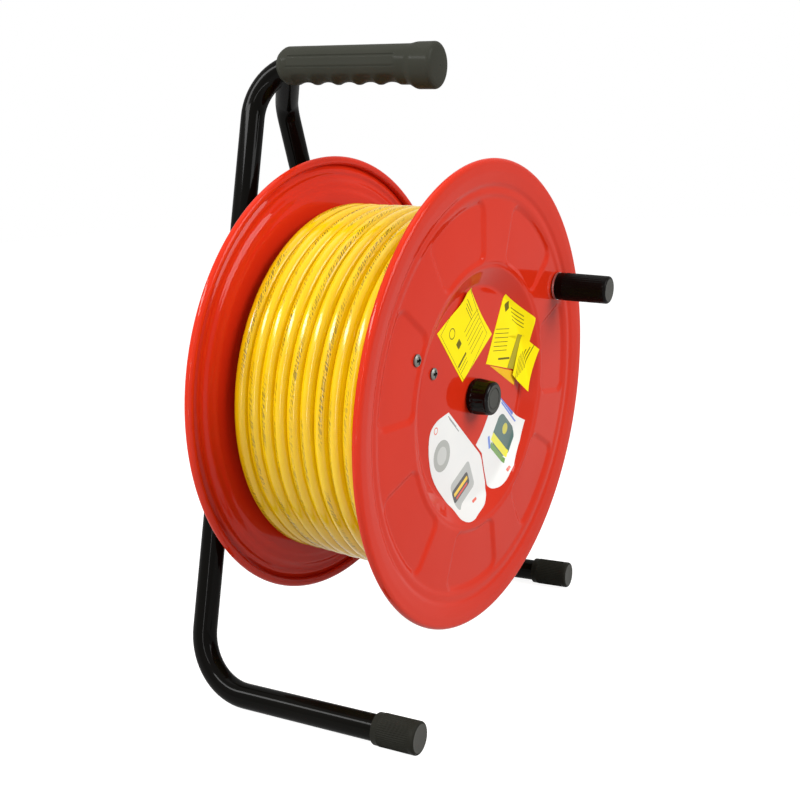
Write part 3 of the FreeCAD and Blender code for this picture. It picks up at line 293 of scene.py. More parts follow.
@dataclass(frozen=True)
class Finish:
    """One finish of the reel, as numbers that its material is made from."""

    name: str
    colour: Triple
    second: Triple
    roughness: float = 0.4
    roughness_spread: float = 0.06
    drift_scale: float = 14.0
    spread: float = 0.6
    metallic: float = 0.0
    coat: float = 0.0
    coat_roughness: float = 0.05
    grain_scale: float = 900.0
    grain_coarse: float = 0.3
    grain_strength: float = 0.05
    grain_distance: float = 0.0002
    dust: float = 0.03
    dust_colour: Triple = (0.42, 0.40, 0.37)
    specular: float = 0.5
    index: float = 1.5

    def material(self, groups: NodeGroups) -> bpy.types.Material:
        """Makes the material of this finish.

        Args:
            groups: the shared node groups.

        Returns:
            The material.
        """
        made = bpy.data.materials.new(self.name)
        made.use_nodes = True
        wiring = Wiring(made.node_tree)
        drift = wiring.group(groups.drift, {
            "Colour": (*self.colour, 1.0), "Second Colour": (*self.second, 1.0), "Scale": self.drift_scale,
            "Spread": self.spread, "Roughness": self.roughness, "Roughness Spread": self.roughness_spread})
        dust = wiring.group(groups.dust, {"Amount": self.dust})
        grain = wiring.group(groups.grain, {"Scale": self.grain_scale, "Coarse": self.grain_coarse})
        bump = wiring.node("Bump", {
            "Strength": self.grain_strength, "Distance": self.grain_distance, "Height": grain["Height"]})
        colour = self.surface_colour(wiring, drift["Colour"], groups)
        wiring.feed(made.node_tree.nodes["Principled BSDF"], {
            "Base Color": wiring.over(colour, self.dust_colour, dust["Mask"]),
            "Roughness": drift["Roughness"], "Metallic": self.metallic, "Coat Weight": self.coat,
            "Coat Roughness": self.coat_roughness, "Specular IOR Level": self.specular, "IOR": self.index,
            "Normal": bump.outputs["Normal"]})
        return made

    def surface_colour(self, wiring: Wiring, colour: Socket, groups: NodeGroups) -> Socket:
        """The colour before dust, which a finish with marks of its own changes here."""
        return colour


@dataclass(frozen=True)
class CordFinish(Finish):
    """The cord's jacket, with plain rows of small length marks along it."""

    mark_pitch: float = 0.0013
    mark_width: float = 0.0030
    mark_wander: float = 0.0280
    wander_scale: float = 1.3
    mark_lean: float = 0.9
    stroke_rise: float = 0.35
    stroke_scale: float = 1.3
    mark_limits: Pair = (0.42, 0.54)
    stroke_limits: Pair = (0.36, 0.48)
    run_scale: float = 11.0
    run_limits: Pair = (0.38, 0.56)
    mark_colour: Triple = (0.070, 0.044, 0.008)
    mark_strength: float = 0.80

    def surface_colour(self, wiring: Wiring, colour: Socket, groups: NodeGroups) -> Socket:
        """Adds the marks, which lie by the tube's own length and girth.

        Args:
            wiring: the wiring of the material.
            colour: the drifting base colour.
            groups: the shared node groups; not used.

        Returns:
            The socket that gives the colour.
        """
        length, girth = wiring.parts(wiring.layer("length_and_girth"))[:2]
        swing = wiring.maths("SUBTRACT", wiring.noise(length, self.wander_scale, line=True), 0.5)
        middle = wiring.maths("ADD", girth, wiring.maths("MULTIPLY", swing, self.mark_wander))
        line = wiring.maths("LESS_THAN", wiring.maths("ABSOLUTE", middle), self.mark_width / 2)
        leaning = wiring.maths("ADD", length, wiring.maths("MULTIPLY", girth, self.mark_lean))
        rising = wiring.maths("ADD", girth, wiring.maths("MULTIPLY", length, self.stroke_rise))
        mark = wiring.ramp(wiring.noise(leaning, 1 / self.mark_pitch, 0.0, line=True), *self.mark_limits)
        stroke_noise = wiring.noise(rising, self.stroke_scale / self.mark_pitch, 0.0, line=True)
        stroke = wiring.ramp(stroke_noise, *self.stroke_limits)
        run_noise = wiring.noise(length, self.run_scale, line=True)
        run = wiring.ramp(run_noise, *self.run_limits, self.mark_strength)
        printed = wiring.maths("MULTIPLY", mark, line)
        inked = wiring.maths("MULTIPLY", stroke, run)
        return wiring.over(colour, self.mark_colour, wiring.maths("MULTIPLY", printed, inked))


@dataclass(frozen=True)
class Shape:
    """One plain printed shape of a label: a bar, block, disc or ring, in the drum's own millimetres."""

    centre: Pair
    half: Pair
    turn: float
    colour: Triple = (0.13, 0.11, 0.008)
    corner: float = 0.3
    rim: float = 100.0


@dataclass(frozen=True)
class PrintedFinish(Finish):
    """A label's film or paper with plain generic shapes printed on it."""

    shapes: tuple[Shape, ...] = ()

    def surface_colour(self, wiring: Wiring, colour: Socket, groups: NodeGroups) -> Socket:
        """Adds the shapes, one over the other.

        Args:
            wiring: the wiring of the material.
            colour: the drifting base colour.
            groups: the shared node groups.

        Returns:
            The socket that gives the colour.
        """
        place = wiring.layer("sheet")
        for shape in self.shapes:
            half = (shape.half[0] - shape.corner, shape.half[1] - shape.corner, 0.0)
            mask = wiring.group(groups.shape, {
                "Place": place, "Centre": (*shape.centre, 0.0), "Half Size": half,
                "Turn": math.radians(-shape.turn), "Corner": shape.corner, "Rim": shape.rim})
            colour = wiring.over(colour, shape.colour, mask["Mask"])
        return colour


def rows(first: Pair, step: Pair, count: int, half: Pair, turn: float) -> tuple[Shape, ...]:
    """Equal bars beside each other, from the first bar's middle on by the step, each of that half size."""
    return tuple(Shape((first[0] + step[0] * k, first[1] + step[1] * k), half, turn) for k in range(count))


def tag(name: str, *shapes: Shape) -> PrintedFinish:
    """The finish of a yellow tag with those shapes printed on it."""
    return PrintedFinish(
        name, (0.97, 0.80, 0.006), (0.94, 0.76, 0.005), roughness=0.42, index=1.15, drift_scale=40.0,
        grain_scale=900.0, grain_strength=0.08, dust=0.0, shapes=shapes)


def sticker(name: str, *shapes: Shape) -> PrintedFinish:
    """The finish of a white sticker with those shapes printed on it."""
    return PrintedFinish(
        name, (0.80, 0.80, 0.77), (0.75, 0.76, 0.75), roughness=0.32, drift_scale=30.0, coat=0.25,
        grain_scale=700.0, grain_strength=0.05, dust=0.0, shapes=shapes)


GREY_PRINT: Triple = (0.25, 0.25, 0.24)
RED_PRINT: Triple = (0.72, 0.12, 0.07)
BLUE_PRINT: Triple = (0.10, 0.20, 0.62)

FINISHES: dict[str, Finish] = {
    "stand_paint": Finish(
        "black_gloss_paint", (0.0016, 0.0014, 0.0009), (0.0026, 0.0022, 0.0015), roughness=0.30, index=1.05,
        coat=0.10, coat_roughness=0.06, grain_scale=500.0, dust=0.004),
    "drum_paint": Finish(
        "red_gloss_paint", (0.600, 0.025, 0.0062), (0.560, 0.021, 0.0050), roughness=0.32, index=1.05,
        coat=0.26, coat_roughness=0.04, drift_scale=8.0, grain_scale=300.0, grain_strength=0.04, dust=0.004),
    "bright_steel": Finish(
        "bright_zinc", (0.60, 0.60, 0.58), (0.42, 0.42, 0.40), roughness=0.30, metallic=1.0,
        grain_scale=1500.0, grain_strength=0.12, dust=0.02),
    "knob_plastic": Finish(
        "black_moulded_plastic", (0.0020, 0.0017, 0.0012), (0.0034, 0.0029, 0.0022), roughness=0.34,
        index=1.09, coat=0.06, coat_roughness=0.2, grain_scale=1600.0, grain_strength=0.20, dust=0.004),
    "hub_plastic": Finish(
        "black_glossy_plastic", (0.0014, 0.0012, 0.0009), (0.0022, 0.0020, 0.0015), roughness=0.26,
        index=1.06, coat=0.25, coat_roughness=0.06, grain_scale=700.0, grain_strength=0.08, dust=0.0),
    "screw_steel": Finish(
        "dull_zinc", (0.20, 0.205, 0.19), (0.12, 0.125, 0.115), roughness=0.45, metallic=1.0,
        grain_scale=1500.0, grain_strength=0.12, dust=0.02),
    # Near-black painted shade for the deep faces of the screws' cross recesses.
    "screw_recess_painted_shade": Finish(
        "shaded_recess", (0.012, 0.011, 0.009), (0.022, 0.020, 0.017), roughness=0.7, index=1.1,
        grain_scale=1500.0, dust=0.0),
    "grip_plastic": Finish(
        "dark_grey_soft_plastic", (0.036, 0.037, 0.029), (0.043, 0.0435, 0.0350), roughness=0.38,
        index=1.045, coat=0.03, coat_roughness=0.16, grain_scale=2000.0, grain_strength=0.22, dust=0.01),
    "cap_plastic": Finish(
        "ribbed_cap_plastic", (0.017, 0.017, 0.0135), (0.022, 0.022, 0.018), roughness=0.42, index=1.08,
        grain_scale=1600.0, grain_strength=0.20, dust=0.01),
    "bush_plastic": Finish(
        "natural_nylon", (0.78, 0.76, 0.68), (0.70, 0.68, 0.60), roughness=0.45, grain_scale=1200.0),
    "cord_jacket": CordFinish(
        "yellow_cord_jacket", (0.80, 0.53, 0.0010), (0.76, 0.46, 0.0010), roughness=0.34, index=1.04,
        coat=0.80, coat_roughness=0.16, drift_scale=30.0, grain_scale=1100.0, dust=0.008),
    "plug_rubber": Finish(
        "moulded_rubber", (0.014, 0.014, 0.014), (0.022, 0.021, 0.020), roughness=0.55, specular=0.35,
        grain_scale=1500.0, grain_strength=0.30, dust=0.05),
    "brass_pins": Finish(
        "brass", (0.72, 0.50, 0.20), (0.64, 0.44, 0.18), roughness=0.25, metallic=1.0, grain_scale=1500.0),
    "outlet_plastic": Finish(
        "outlet_plastic", (0.012, 0.012, 0.013), (0.017, 0.017, 0.018), roughness=0.40, specular=0.30,
        grain_scale=1500.0, grain_strength=0.25),
    "button_plastic": Finish(
        "red_button", (0.52, 0.016, 0.010), (0.47, 0.014, 0.009), roughness=0.30, coat=0.3,
        grain_scale=1200.0),
    "end_face": Finish(
        "grey_end_face", (0.066, 0.066, 0.059), (0.076, 0.076, 0.069), roughness=0.46, index=1.10,
        grain_scale=1600.0, grain_strength=0.25, dust=0.01),
    # A darker, more orange copy of the tag's yellow: painted shade on the tag's folded underside.
    "tag_fold_painted_shade": Finish(
        "tag_underside_painted_shade", (0.85, 0.50, 0.008), (0.80, 0.42, 0.008), roughness=0.5, specular=0.2,
        drift_scale=60.0),
    # A darker, olive copy of the tag's yellow: painted shade on the side of the tag's fold.
    "tag_shade": Finish(
        "tag_crease_painted_shade", (0.40, 0.33, 0.012), (0.36, 0.30, 0.010), roughness=0.5, specular=0.2,
        drift_scale=40.0),
    "tag_left": tag(
        "yellow_tag_left",
        Shape((-17.4, 54.2), (25.5, 29.5), 41.5, rim=0.45),
        *rows((-12.0, 77.0), (0.0, -3.4), 3, (8.0, 0.33), -46.0),
        Shape((-38.0, 58.0), (4.6, 4.6), 0.0, corner=4.5, rim=0.9),
        Shape((-27.0, 48.0), (3.2, 3.2), 41.5, corner=0.6),
        *rows((-8.0, 64.0), (2.4, -3.9), 6, (13.0, 0.31), 38.0),
        Shape((-21.0, 34.0), (8.0, 1.1), 38.0),
        *rows((-19.0, 30.5), (1.8, -3.0), 2, (7.0, 0.31), 38.0)),
    "tag_right": tag(
        "yellow_tag_right",
        Shape((57.0, 66.5), (3.6, 3.6), 20.0, corner=0.8),
        *rows((73.0, 59.5), (1.2, -3.6), 4, (10.0, 0.31), -30.0),
        *rows((50.0, 48.0), (-0.8, -3.6), 6, (13.0, 0.31), -8.0),
        Shape((54.0, 21.5), (11.0, 0.9), -8.0),
        *rows((92.0, 17.0), (-3.0, -1.6), 6, (11.0, 0.36), 66.0)),
    "sticker_left": sticker(
        "white_sticker_left",
        Shape((-52.0, -38.0), (13.0, 13.0), 0.0, (0.36, 0.37, 0.34), 12.9),
        Shape((-52.0, -38.0), (7.5, 7.5), 0.0, (0.52, 0.53, 0.50), 7.4),
        Shape((-17.0, -73.0), (17.0, 14.0), 25.0, (0.42, 0.43, 0.41), 4.0),
        Shape((-20.0, -74.0), (14.0, 6.5), 25.0, (0.012, 0.010, 0.008), 3.0),
        Shape((-20.0, -73.0), (12.0, 1.8), 25.0, (0.86, 0.55, 0.01), 1.0),
        Shape((-18.0, -77.5), (10.0, 1.2), 25.0, (0.62, 0.03, 0.015), 0.8),
        Shape((-36.0, -13.5), (9.0, 0.5), -42.0, GREY_PRINT),
        Shape((-33.0, -17.0), (11.0, 0.5), -42.0, GREY_PRINT),
        Shape((-62.0, -15.0), (3.0, 3.0), 0.0, RED_PRINT, 2.9, 0.9),
        Shape((3.0, -92.0), (4.0, 1.0), 10.0, RED_PRINT, 0.9)),
    "sticker_right": sticker(
        "white_sticker_right",
        Shape((56.0, -48.0), (19.0, 15.0), -40.0, (0.030, 0.10, 0.085), 9.0),
        Shape((49.5, -55.5), (18.5, 3.6), -40.0, (0.78, 0.74, 0.02), 0.6),
        Shape((45.5, -61.5), (17.0, 2.4), -40.0, (0.12, 0.28, 0.04), 0.6),
        Shape((60.0, -43.0), (5.0, 5.0), 5.0, (0.55, 0.50, 0.02), 4.9),
        Shape((62.0, -22.0), (17.0, 1.5), -40.0, (0.06, 0.14, 0.55), 0.7),
        Shape((66.0, -29.0), (19.0, 0.9), -40.0, BLUE_PRINT, 0.5),
        Shape((30.0, -48.0), (1.8, 6.0), 12.0, BLUE_PRINT, 0.8),
        Shape((59.0, -79.0), (3.2, 1.2), 30.0, RED_PRINT, 0.9)),
}


class Palette:
    """Makes each finish's material once and hands it out."""

    def __init__(self) -> None:
        """Starts with no material made."""
        self._groups = NodeGroups()
        self._made: dict[str, bpy.types.Material] = {}

    def get(self, name: str) -> bpy.types.Material:
        """The material of a finish.

        Args:
            name: the finish's key in FINISHES.

        Returns:
            The material.
        """
        if name not in self._made:
            self._made[name] = FINISHES[name].material(self._groups)
        return self._made[name]


def smooth(share: np.ndarray) -> np.ndarray:
    """A share that is held between 0 and 1 and starts and ends softly."""
    held = np.clip(share, 0, 1)
    return held * held * (3 - 2 * held)


def around(radius: np.ndarray, along: np.ndarray, angle: np.ndarray) -> np.ndarray:
    """Points at a radius from the Y axis, a place along it and an angle in radians from X towards Z."""
    return np.stack(np.broadcast_arrays(radius * np.cos(angle), along, radius * np.sin(angle)), -1)


def stretches(start: float, *parts: tuple[float, int], closed: bool = True) -> np.ndarray:
    """Places along a line, evenly spaced within each stretch.

    Args:
        start: the first place.
        parts: each stretch's end and how many places it has.
        closed: whether the last stretch reaches its end.

    Returns:
        The places.
    """
    starts = [start, *(end for end, _ in parts)]
    return np.concatenate([
        np.linspace(begin, end, count, endpoint=closed and number == len(parts))
        for number, (begin, (end, count)) in enumerate(zip(starts, parts), 1)])


class Maker:
    """Makes meshes from rows of points and dresses them."""

    @staticmethod
    def lattice(
        name: str, points: np.ndarray, place: Matrix, close_rows: bool = False, close_columns: bool = True,
        lengths: np.ndarray | None = None, girths: np.ndarray | None = None, flip: bool = False,
        sharp: float = 35.0,
    ) -> bpy.types.Object:
        """A surface through a lattice of points.

        Args:
            name: the object's name.
            points: rows by columns by three, in the units of place.
            place: turns the points into metres of the part's frame.
            close_rows: whether the last row joins the first.
            close_columns: whether the last column joins the first.
            lengths: the length along the rows, for the marks on a tube.
            girths: the length around the columns, for the marks on a tube.
            flip: whether the faces look the other way.
            sharp: the angle in degrees from which an edge stays sharp.

        Returns:
            The object.
        """
        count, columns = points.shape[:2]
        turn = np.array(place, float)
        flat = points.reshape(-1, 3) @ turn[:3, :3].T + turn[:3, 3]
        row = np.arange(count if close_rows else count - 1)
        column = np.arange(columns if close_columns else columns - 1)
        i, j = (item.ravel() for item in np.meshgrid(row, column, indexing="ij"))
        next_i, next_j = (i + 1) % count, (j + 1) % columns
        corners = (i * columns + j, i * columns + next_j, next_i * columns + next_j, next_i * columns + j)
        faces = np.stack(corners, 1)
        if flip:
            faces = faces[:, ::-1]
        mesh = bpy.data.meshes.new(name)
        mesh.vertices.add(len(flat))
        mesh.vertices.foreach_set("co", flat.astype(np.float32).ravel())
        mesh.loops.add(faces.size)
        mesh.loops.foreach_set("vertex_index", faces.astype(np.int32).ravel())
        mesh.polygons.add(len(faces))
        mesh.polygons.foreach_set("loop_start", np.arange(0, faces.size, 4, dtype=np.int32))
        mesh.update(calc_edges=True)
        if lengths is not None:
            lattice_row, lattice_column = np.divmod(faces, columns)
            wrapped = (lattice_column == 0) & (j[:, None] == columns - 1)
            uv = np.stack([lengths[lattice_row], girths[np.where(wrapped, columns, lattice_column)]], -1)
            layer = mesh.uv_layers.new(name="length_and_girth")
            layer.data.foreach_set("uv", uv.astype(np.float32).ravel())
        mesh.validate()
        mesh.shade_smooth()
        mesh.set_sharp_from_angle(angle=math.radians(sharp))
        made = bpy.data.objects.new(name, mesh)
        bpy.context.scene.collection.objects.link(made)
        return made

    @staticmethod
    def turned(
        name: str, profile: np.ndarray, place: Matrix, count: int, sharp: float = 30.0, flip: bool = False,
    ) -> bpy.types.Object:
        """A shape turned about the Y axis of its place.

        Args:
            name: the object's name.
            profile: radius and place along the axis, row by row.
            place: turns the points into metres of the part's frame.
            count: points round the axis.
            sharp: the angle in degrees from which an edge stays sharp.
            flip: whether the faces look the other way.

        Returns:
            The object.
        """
        angle = np.linspace(0, FULL_TURN, count, endpoint=False)
        points = around(profile[:, :1], profile[:, 1:], angle)
        return Maker.lattice(name, points, place, sharp=sharp, flip=flip)

    @staticmethod
    def tube(
        name: str, line: np.ndarray, outward: np.ndarray, radius: float, place: Matrix, sides: int,
    ) -> bpy.types.Object:
        """A round tube along a line of points.

        Args:
            name: the object's name.
            line: the points of its middle line.
            outward: the direction at each point that the tube's marks face.
            radius: the tube's radius.
            place: turns the points into metres of the part's frame.
            sides: points round the tube.

        Returns:
            The object.
        """
        heading = np.gradient(line, axis=0)
        heading /= np.linalg.norm(heading, axis=1)[:, None]
        outward = outward - (outward * heading).sum(1)[:, None] * heading
        outward /= np.linalg.norm(outward, axis=1)[:, None]
        beside = np.cross(heading, outward)
        angle = np.linspace(-math.pi, math.pi, sides, endpoint=False)
        ring = outward[:, None] * np.cos(angle)[:, None] + beside[:, None] * np.sin(angle)[:, None]
        steps = np.linalg.norm(np.diff(line, axis=0), axis=1)
        lengths = np.concatenate([[0], np.cumsum(steps)]) * MM
        girths = np.linspace(-math.pi, math.pi, sides + 1) * radius * MM
        return Maker.lattice(
            name, line[:, None] + ring * radius, place, lengths=lengths, girths=girths, flip=True, sharp=60.0)

    @staticmethod
    def dress(
        made: bpy.types.Object, body: Body, slot: Slot, material: bpy.types.Material, *replaced: str,
    ) -> None:
        """Gives a piece its material and its body, and hides what it stands for.

        Args:
            made: the piece.
            body: the body that it moves with.
            slot: the record's slot for the piece; not used.
            material: its material.
            replaced: the nodes that it replaces.
        """
        made.data.materials.append(material)
        if replaced:
            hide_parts(*replaced)
        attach(made, body.value)
        LOG.info("%s: %d faces on %s", made.name, len(made.data.polygons), body.value)


@dataclass(frozen=True)
class DrumSeat:
    """Where the drum sits on the stand."""

    height: float = 236.6
    forward: float = 2.7
    droop: float = 3.21
    yaw: float = 3.51

    def place(self, radius: float = 0.0, angle: float = 0.0, along: float = 0.0) -> Matrix:
        """The place of something on the drum that stays parallel to the axle.

        Args:
            radius: how far off the axle.
            angle: degrees from the right-hand side upwards.
            along: how far behind the middle of the drum.

        Returns:
            A matrix from the piece's own millimetres to metres of the part's frame.
        """
        droop = Matrix.Rotation(math.radians(self.droop), 4, "X")
        turn = droop @ Matrix.Rotation(-math.radians(self.yaw), 4, "Z")
        base = Matrix.Translation((0, self.forward * MM, self.height * MM)) @ turn @ Matrix.Scale(MM, 4)
        turned = math.radians(angle)
        return base @ Matrix.Translation((radius * math.cos(turned), along, radius * math.sin(turned)))


SEAT = DrumSeat()
INNER_PROFILE: tuple[Pair, ...] = (
    (0, 63.0), (91, 63.0), (106, 73.0), (109, 73.0), (110.2, 74.0), (161.0, 74.0), (163.6, 75.2),
    (167.6, 75.2), (169.2, 75.0))


@dataclass(frozen=True)
class Flange:
    """One pressed flange: rolled rim, convex rim band, raised ring, seven pads and a dished middle."""

    side: Side
    first_pad: float = 0.0
    bore: float = 12.0
    sheet: float = 1.2
    rim_centre: float = 187.46
    rim_roll: float = 3.46
    rim_face: float = 78.96
    roll_start: float = 90.0
    roll_end: float = -222.0
    roll_rows: int = 26
    pad_inner: float = 111.5
    pad_outer: float = 159.0
    pad_angle: float = 32.0
    pad_depth: float = 2.0
    pad_corner: float = 9.0
    pad_slope: float = 2.7
    pad_count: int = 7
    pad_margin: float = 4.0
    pad_columns: tuple[int, int, int] = (16, 16, 8)
    plain_columns: int = 300
    profile: tuple[Pair, ...] = (*INNER_PROFILE, (172.0, 76.8), (181.0, 78.5), (187.4, 78.96), (192, 78.96))
    profile_step: float = 0.1
    profile_span: Pair = (-6.0, 200.0)
    softness: float = 1.05
    softened: float = 4.0
    waviness: float = 0.09
    wave_lengths: tuple[float, float, float, float] = (8.1, 23.0, 9.7, 19.0)
    wave_bends: Pair = (1.7, 1.3)
    wave_inner: Pair = (20.0, 40.0)
    wave_outer: Pair = (170.0, 184.0)
    row_stretches: tuple[tuple[float, int], ...] = ((86, 24), (119, 48), (150, 18), (175, 38))
    rim_rows: int = 22

    def face(self, radius: np.ndarray) -> np.ndarray:
        """The outer face without its pads, with its edges softened as pressing does.

        Args:
            radius: distance from the axle.

        Returns:
            Distance from the middle of the drum.
        """
        fine = np.arange(*self.profile_span, self.profile_step)
        across, along = (np.array(item) for item in zip(*self.profile))
        raw = np.interp(np.abs(fine), across, along)
        spread = np.arange(-self.softened, self.softened + self.profile_step / 2, self.profile_step)
        weight = np.exp(-((spread / self.softness) ** 2) / 2)
        return np.interp(radius, fine, np.convolve(raw, weight / weight.sum(), "same"))

    def pad(self, radius: np.ndarray, angle: np.ndarray) -> np.ndarray:
        """How much of a pad's depth there is at a point, from 0 to 1.

        Args:
            radius: distance from the axle.
            angle: degrees from the right-hand side upwards.

        Returns:
            The share of the depth.
        """
        step = 360.0 / self.pad_count
        off = np.abs((angle - self.first_pad + step / 2) % step - step / 2)
        middle, half = (self.pad_inner + self.pad_outer) / 2, (self.pad_outer - self.pad_inner) / 2
        beside = np.radians(off - self.pad_angle / 2) * radius + self.pad_corner
        beyond = np.abs(radius - middle) - half + self.pad_corner
        outside = np.hypot(np.maximum(beside, 0), np.maximum(beyond, 0))
        distance = outside + np.minimum(np.maximum(beside, beyond), 0) - self.pad_corner
        return smooth((self.pad_slope - distance) / (2 * self.pad_slope))

    def waves(self, radius: np.ndarray, angle: np.ndarray) -> np.ndarray:
        """How much the sheet is dented, as thin painted steel is, between its middle and its rim.

        Args:
            radius: distance from the axle.
            angle: degrees from the right-hand side upwards.

        Returns:
            The depth of the dents.
        """
        across, up = radius * np.cos(np.radians(angle)), radius * np.sin(np.radians(angle))
        across_fine, up_broad, up_fine, across_broad = self.wave_lengths
        rising, leaning = self.wave_bends
        wave = np.sin(across / across_fine + rising * np.sin(up / up_broad))
        wave = wave + np.sin(up / up_fine + leaning * np.sin(across / across_broad))
        inner, outer = self.wave_inner, self.wave_outer
        held = smooth((radius - inner[0]) / (inner[1] - inner[0]))
        held = held * smooth((outer[1] - radius) / (outer[1] - outer[0]))
        return self.waviness * (1 + wave / 2) * held

    def surface(self, radius: np.ndarray, angle: np.ndarray) -> np.ndarray:
        """The outer face with its pads and dents, as distance from the middle of the drum."""
        return self.face(radius) - self.pad_depth * self.pad(radius, angle) - self.waves(radius, angle)

    def angles(self) -> np.ndarray:
        """Columns round the axle, closer together at the pads' sides.

        Returns:
            Degrees.
        """
        if not self.pad_depth:
            return np.linspace(0, 360, self.plain_columns, endpoint=False)
        step, edge, margin = 360.0 / self.pad_count, self.pad_angle / 2, self.pad_margin
        middle, slope, between = self.pad_columns
        one = stretches(
            -edge + margin, (edge - margin, middle), (edge + margin, slope), (step - edge - margin, between),
            (step - edge + margin, slope), closed=False)
        return np.concatenate([one + self.first_pad + step * k for k in range(self.pad_count)])

    def build(self, palette: Palette) -> None:
        """Builds the flange and dresses it.

        Args:
            palette: the materials.
        """
        fine = stretches(self.bore, *self.row_stretches, (self.rim_centre, self.rim_rows))
        roll = np.radians(np.linspace(self.roll_start, self.roll_end, self.roll_rows)[1:])
        angle = self.angles()
        bead_radius = self.rim_centre + self.rim_roll * np.cos(roll)
        back_radius = fine[fine < bead_radius[-1]][::-2]
        outer = self.surface(fine[:, None], angle)
        back = self.surface(back_radius[:, None], angle) - self.sheet
        bead = (self.rim_face - self.rim_roll + self.rim_roll * np.sin(roll))[:, None] + 0 * angle
        radius = np.concatenate([fine, bead_radius, back_radius])
        along = np.concatenate([outer, bead, back]) * self.side.value
        points = around(radius[:, None], along, np.radians(angle))
        end = self.side.name.lower()
        made = Maker.lattice(
            "flange_%s_pressing" % end, points, SEAT.place(), close_rows=True, flip=self.side is Side.FRONT,
            sharp=70.0)
        Maker.dress(made, Body.DRUM, Slot.DRUM_PAINT, palette.get("drum_paint"), end + "_flange")


@dataclass(frozen=True)
class Winding:
    """The cord on the drum: the outer layer with its tail, the layer under it and a plain core."""

    diameter: float = 12.2
    outside: float = 152.0
    edge: float = 69.85
    pitch: float = 12.7
    turns: int = 10
    first: float = -89.0
    last: float = -75.0
    nest: float = 10.45
    per_turn: int = 120
    sides: int = 18
    climb: float = 0.75
    climb_rows: int = 16
    loose_fade: float = 0.6
    sideways_waves: tuple[Triple, ...] = ((0.16, 1.37, 0.4), (0.12, 3.1, 2.0))
    outward_waves: tuple[Triple, ...] = ((0.10, 2.3, 1.0),)
    tail_place: float = 50.0
    tail_angle: float = 25.0
    tail_wait: float = 0.2
    tail_rows: int = 60
    straight_rows: int = 3
    plug_rest: float = 0.3
    plug_diameter: float = 32.0
    plug_rear: float = 12.0
    sleeve: float = 20.0
    under_per_turn: int = 90
    under_sides: int = 14
    under_first: float = 0.3
    under_gap: float = 0.2
    core_gap: float = 2.0
    core_end: float = 1.0
    core_foot: Pair = (92.0, 61.0)
    core_knee: float = 106.0

    @property
    def layer(self) -> float:
        """The radius of the outer layer's middle line."""
        return self.outside - self.diameter / 2

    @staticmethod
    def _waves(angle: np.ndarray, waves: tuple[Triple, ...]) -> np.ndarray:
        """The sum of waves along the winding, each with its height, its rate and where it starts."""
        return sum(height * np.sin(angle * rate + start) for height, rate, start in waves)

    def outer_line(self) -> tuple[np.ndarray, np.ndarray]:
        """The middle line of the outer layer and its tail.

        Returns:
            The points, and the outward direction at each.
        """
        first, last = math.radians(self.first), math.radians(self.last) + FULL_TURN * self.turns
        rise = self.pitch / FULL_TURN
        start = self.diameter / 2 - self.edge
        climb = np.linspace(first - self.climb, first, self.climb_rows, endpoint=False)
        angle = np.linspace(first, last, self.per_turn * self.turns)
        fade = smooth((angle - first) / self.loose_fade) * smooth((last - angle) / self.loose_fade)
        radius = self.layer + self._waves(angle, self.outward_waves) * fade
        along = start + rise * (angle - first) + self._waves(angle, self.sideways_waves) * fade
        wound = around(radius, along, angle)
        ease = smooth((climb - climb[0]) / self.climb)
        rising = around(self.layer - self.nest * (1 - ease), start + self.pitch / 2 * (1 - ease), climb)
        plug_line = self.outside + self.plug_rest + self.plug_diameter / 2
        back = self.plug_rear + self.sleeve + self.diameter
        far = math.hypot(plug_line, back)
        turn = math.radians(self.tail_angle)
        stop = turn - math.atan(back / plug_line) + FULL_TURN * self.turns
        share = np.linspace(0, 1, self.tail_rows)[1:]
        slope = -far * (back / plug_line) * (stop - last)
        reach = self.layer + (far - self.layer) * smooth(share) + slope * (share ** 3 - share ** 2)
        end = start + rise * (last - first)
        shift = end + (self.tail_place - end) * smooth((share - self.tail_wait) / (1 - self.tail_wait))
        tail_angle = last + (stop - last) * share
        tail = around(reach, shift, tail_angle)
        heading = np.array([-math.sin(turn), 0, math.cos(turn)])
        straight = tail[-1] + heading * np.linspace(0, self.diameter, self.straight_rows + 1)[1:, None]
        turned = np.concatenate([climb, angle, tail_angle, np.full(self.straight_rows, tail_angle[-1])])
        return np.concatenate([rising, wound, tail, straight]), around(1.0, 0.0, turned)

    def under_line(self) -> tuple[np.ndarray, np.ndarray]:
        """The middle line of the layer that shows between the outer turns.

        Returns:
            The points, and the outward direction at each.
        """
        turns = self.turns - 1
        first, last = self.under_first, self.under_first + FULL_TURN * turns
        angle = np.linspace(first, last, self.under_per_turn * turns)
        along = np.linspace(-self.pitch * turns / 2, self.pitch * turns / 2, len(angle))
        return around(self.layer - self.nest - self.under_gap, along, angle), around(1.0, 0.0, angle)

    def build(self, palette: Palette) -> None:
        """Builds the outer layer, the layer under it and the core, and dresses them.

        Args:
            palette: the materials.
        """
        jacket = palette.get("cord_jacket")
        for name, (line, outward), sides, node in (
            ("cord_winding_outer", self.outer_line(), self.sides, "cord_outer_layer"),
            ("cord_winding_under", self.under_line(), self.under_sides, "cord_inner_layers"),
        ):
            tube = Maker.tube(name, line, outward, self.diameter / 2, SEAT.place(), sides)
            Maker.dress(tube, Body.DRUM, Slot.CORD, jacket, node)
        inside, end = self.layer - self.nest - self.core_gap, self.edge - self.core_end
        half = [(inside, end), (self.core_knee, end), self.core_foot]
        profile = [*((radius, -along) for radius, along in half[::-1]), *half]
        core = Maker.turned("cord_winding_core", np.array(profile), SEAT.place(), count=128, flip=True)
        Maker.dress(core, Body.DRUM, Slot.CORD, jacket)


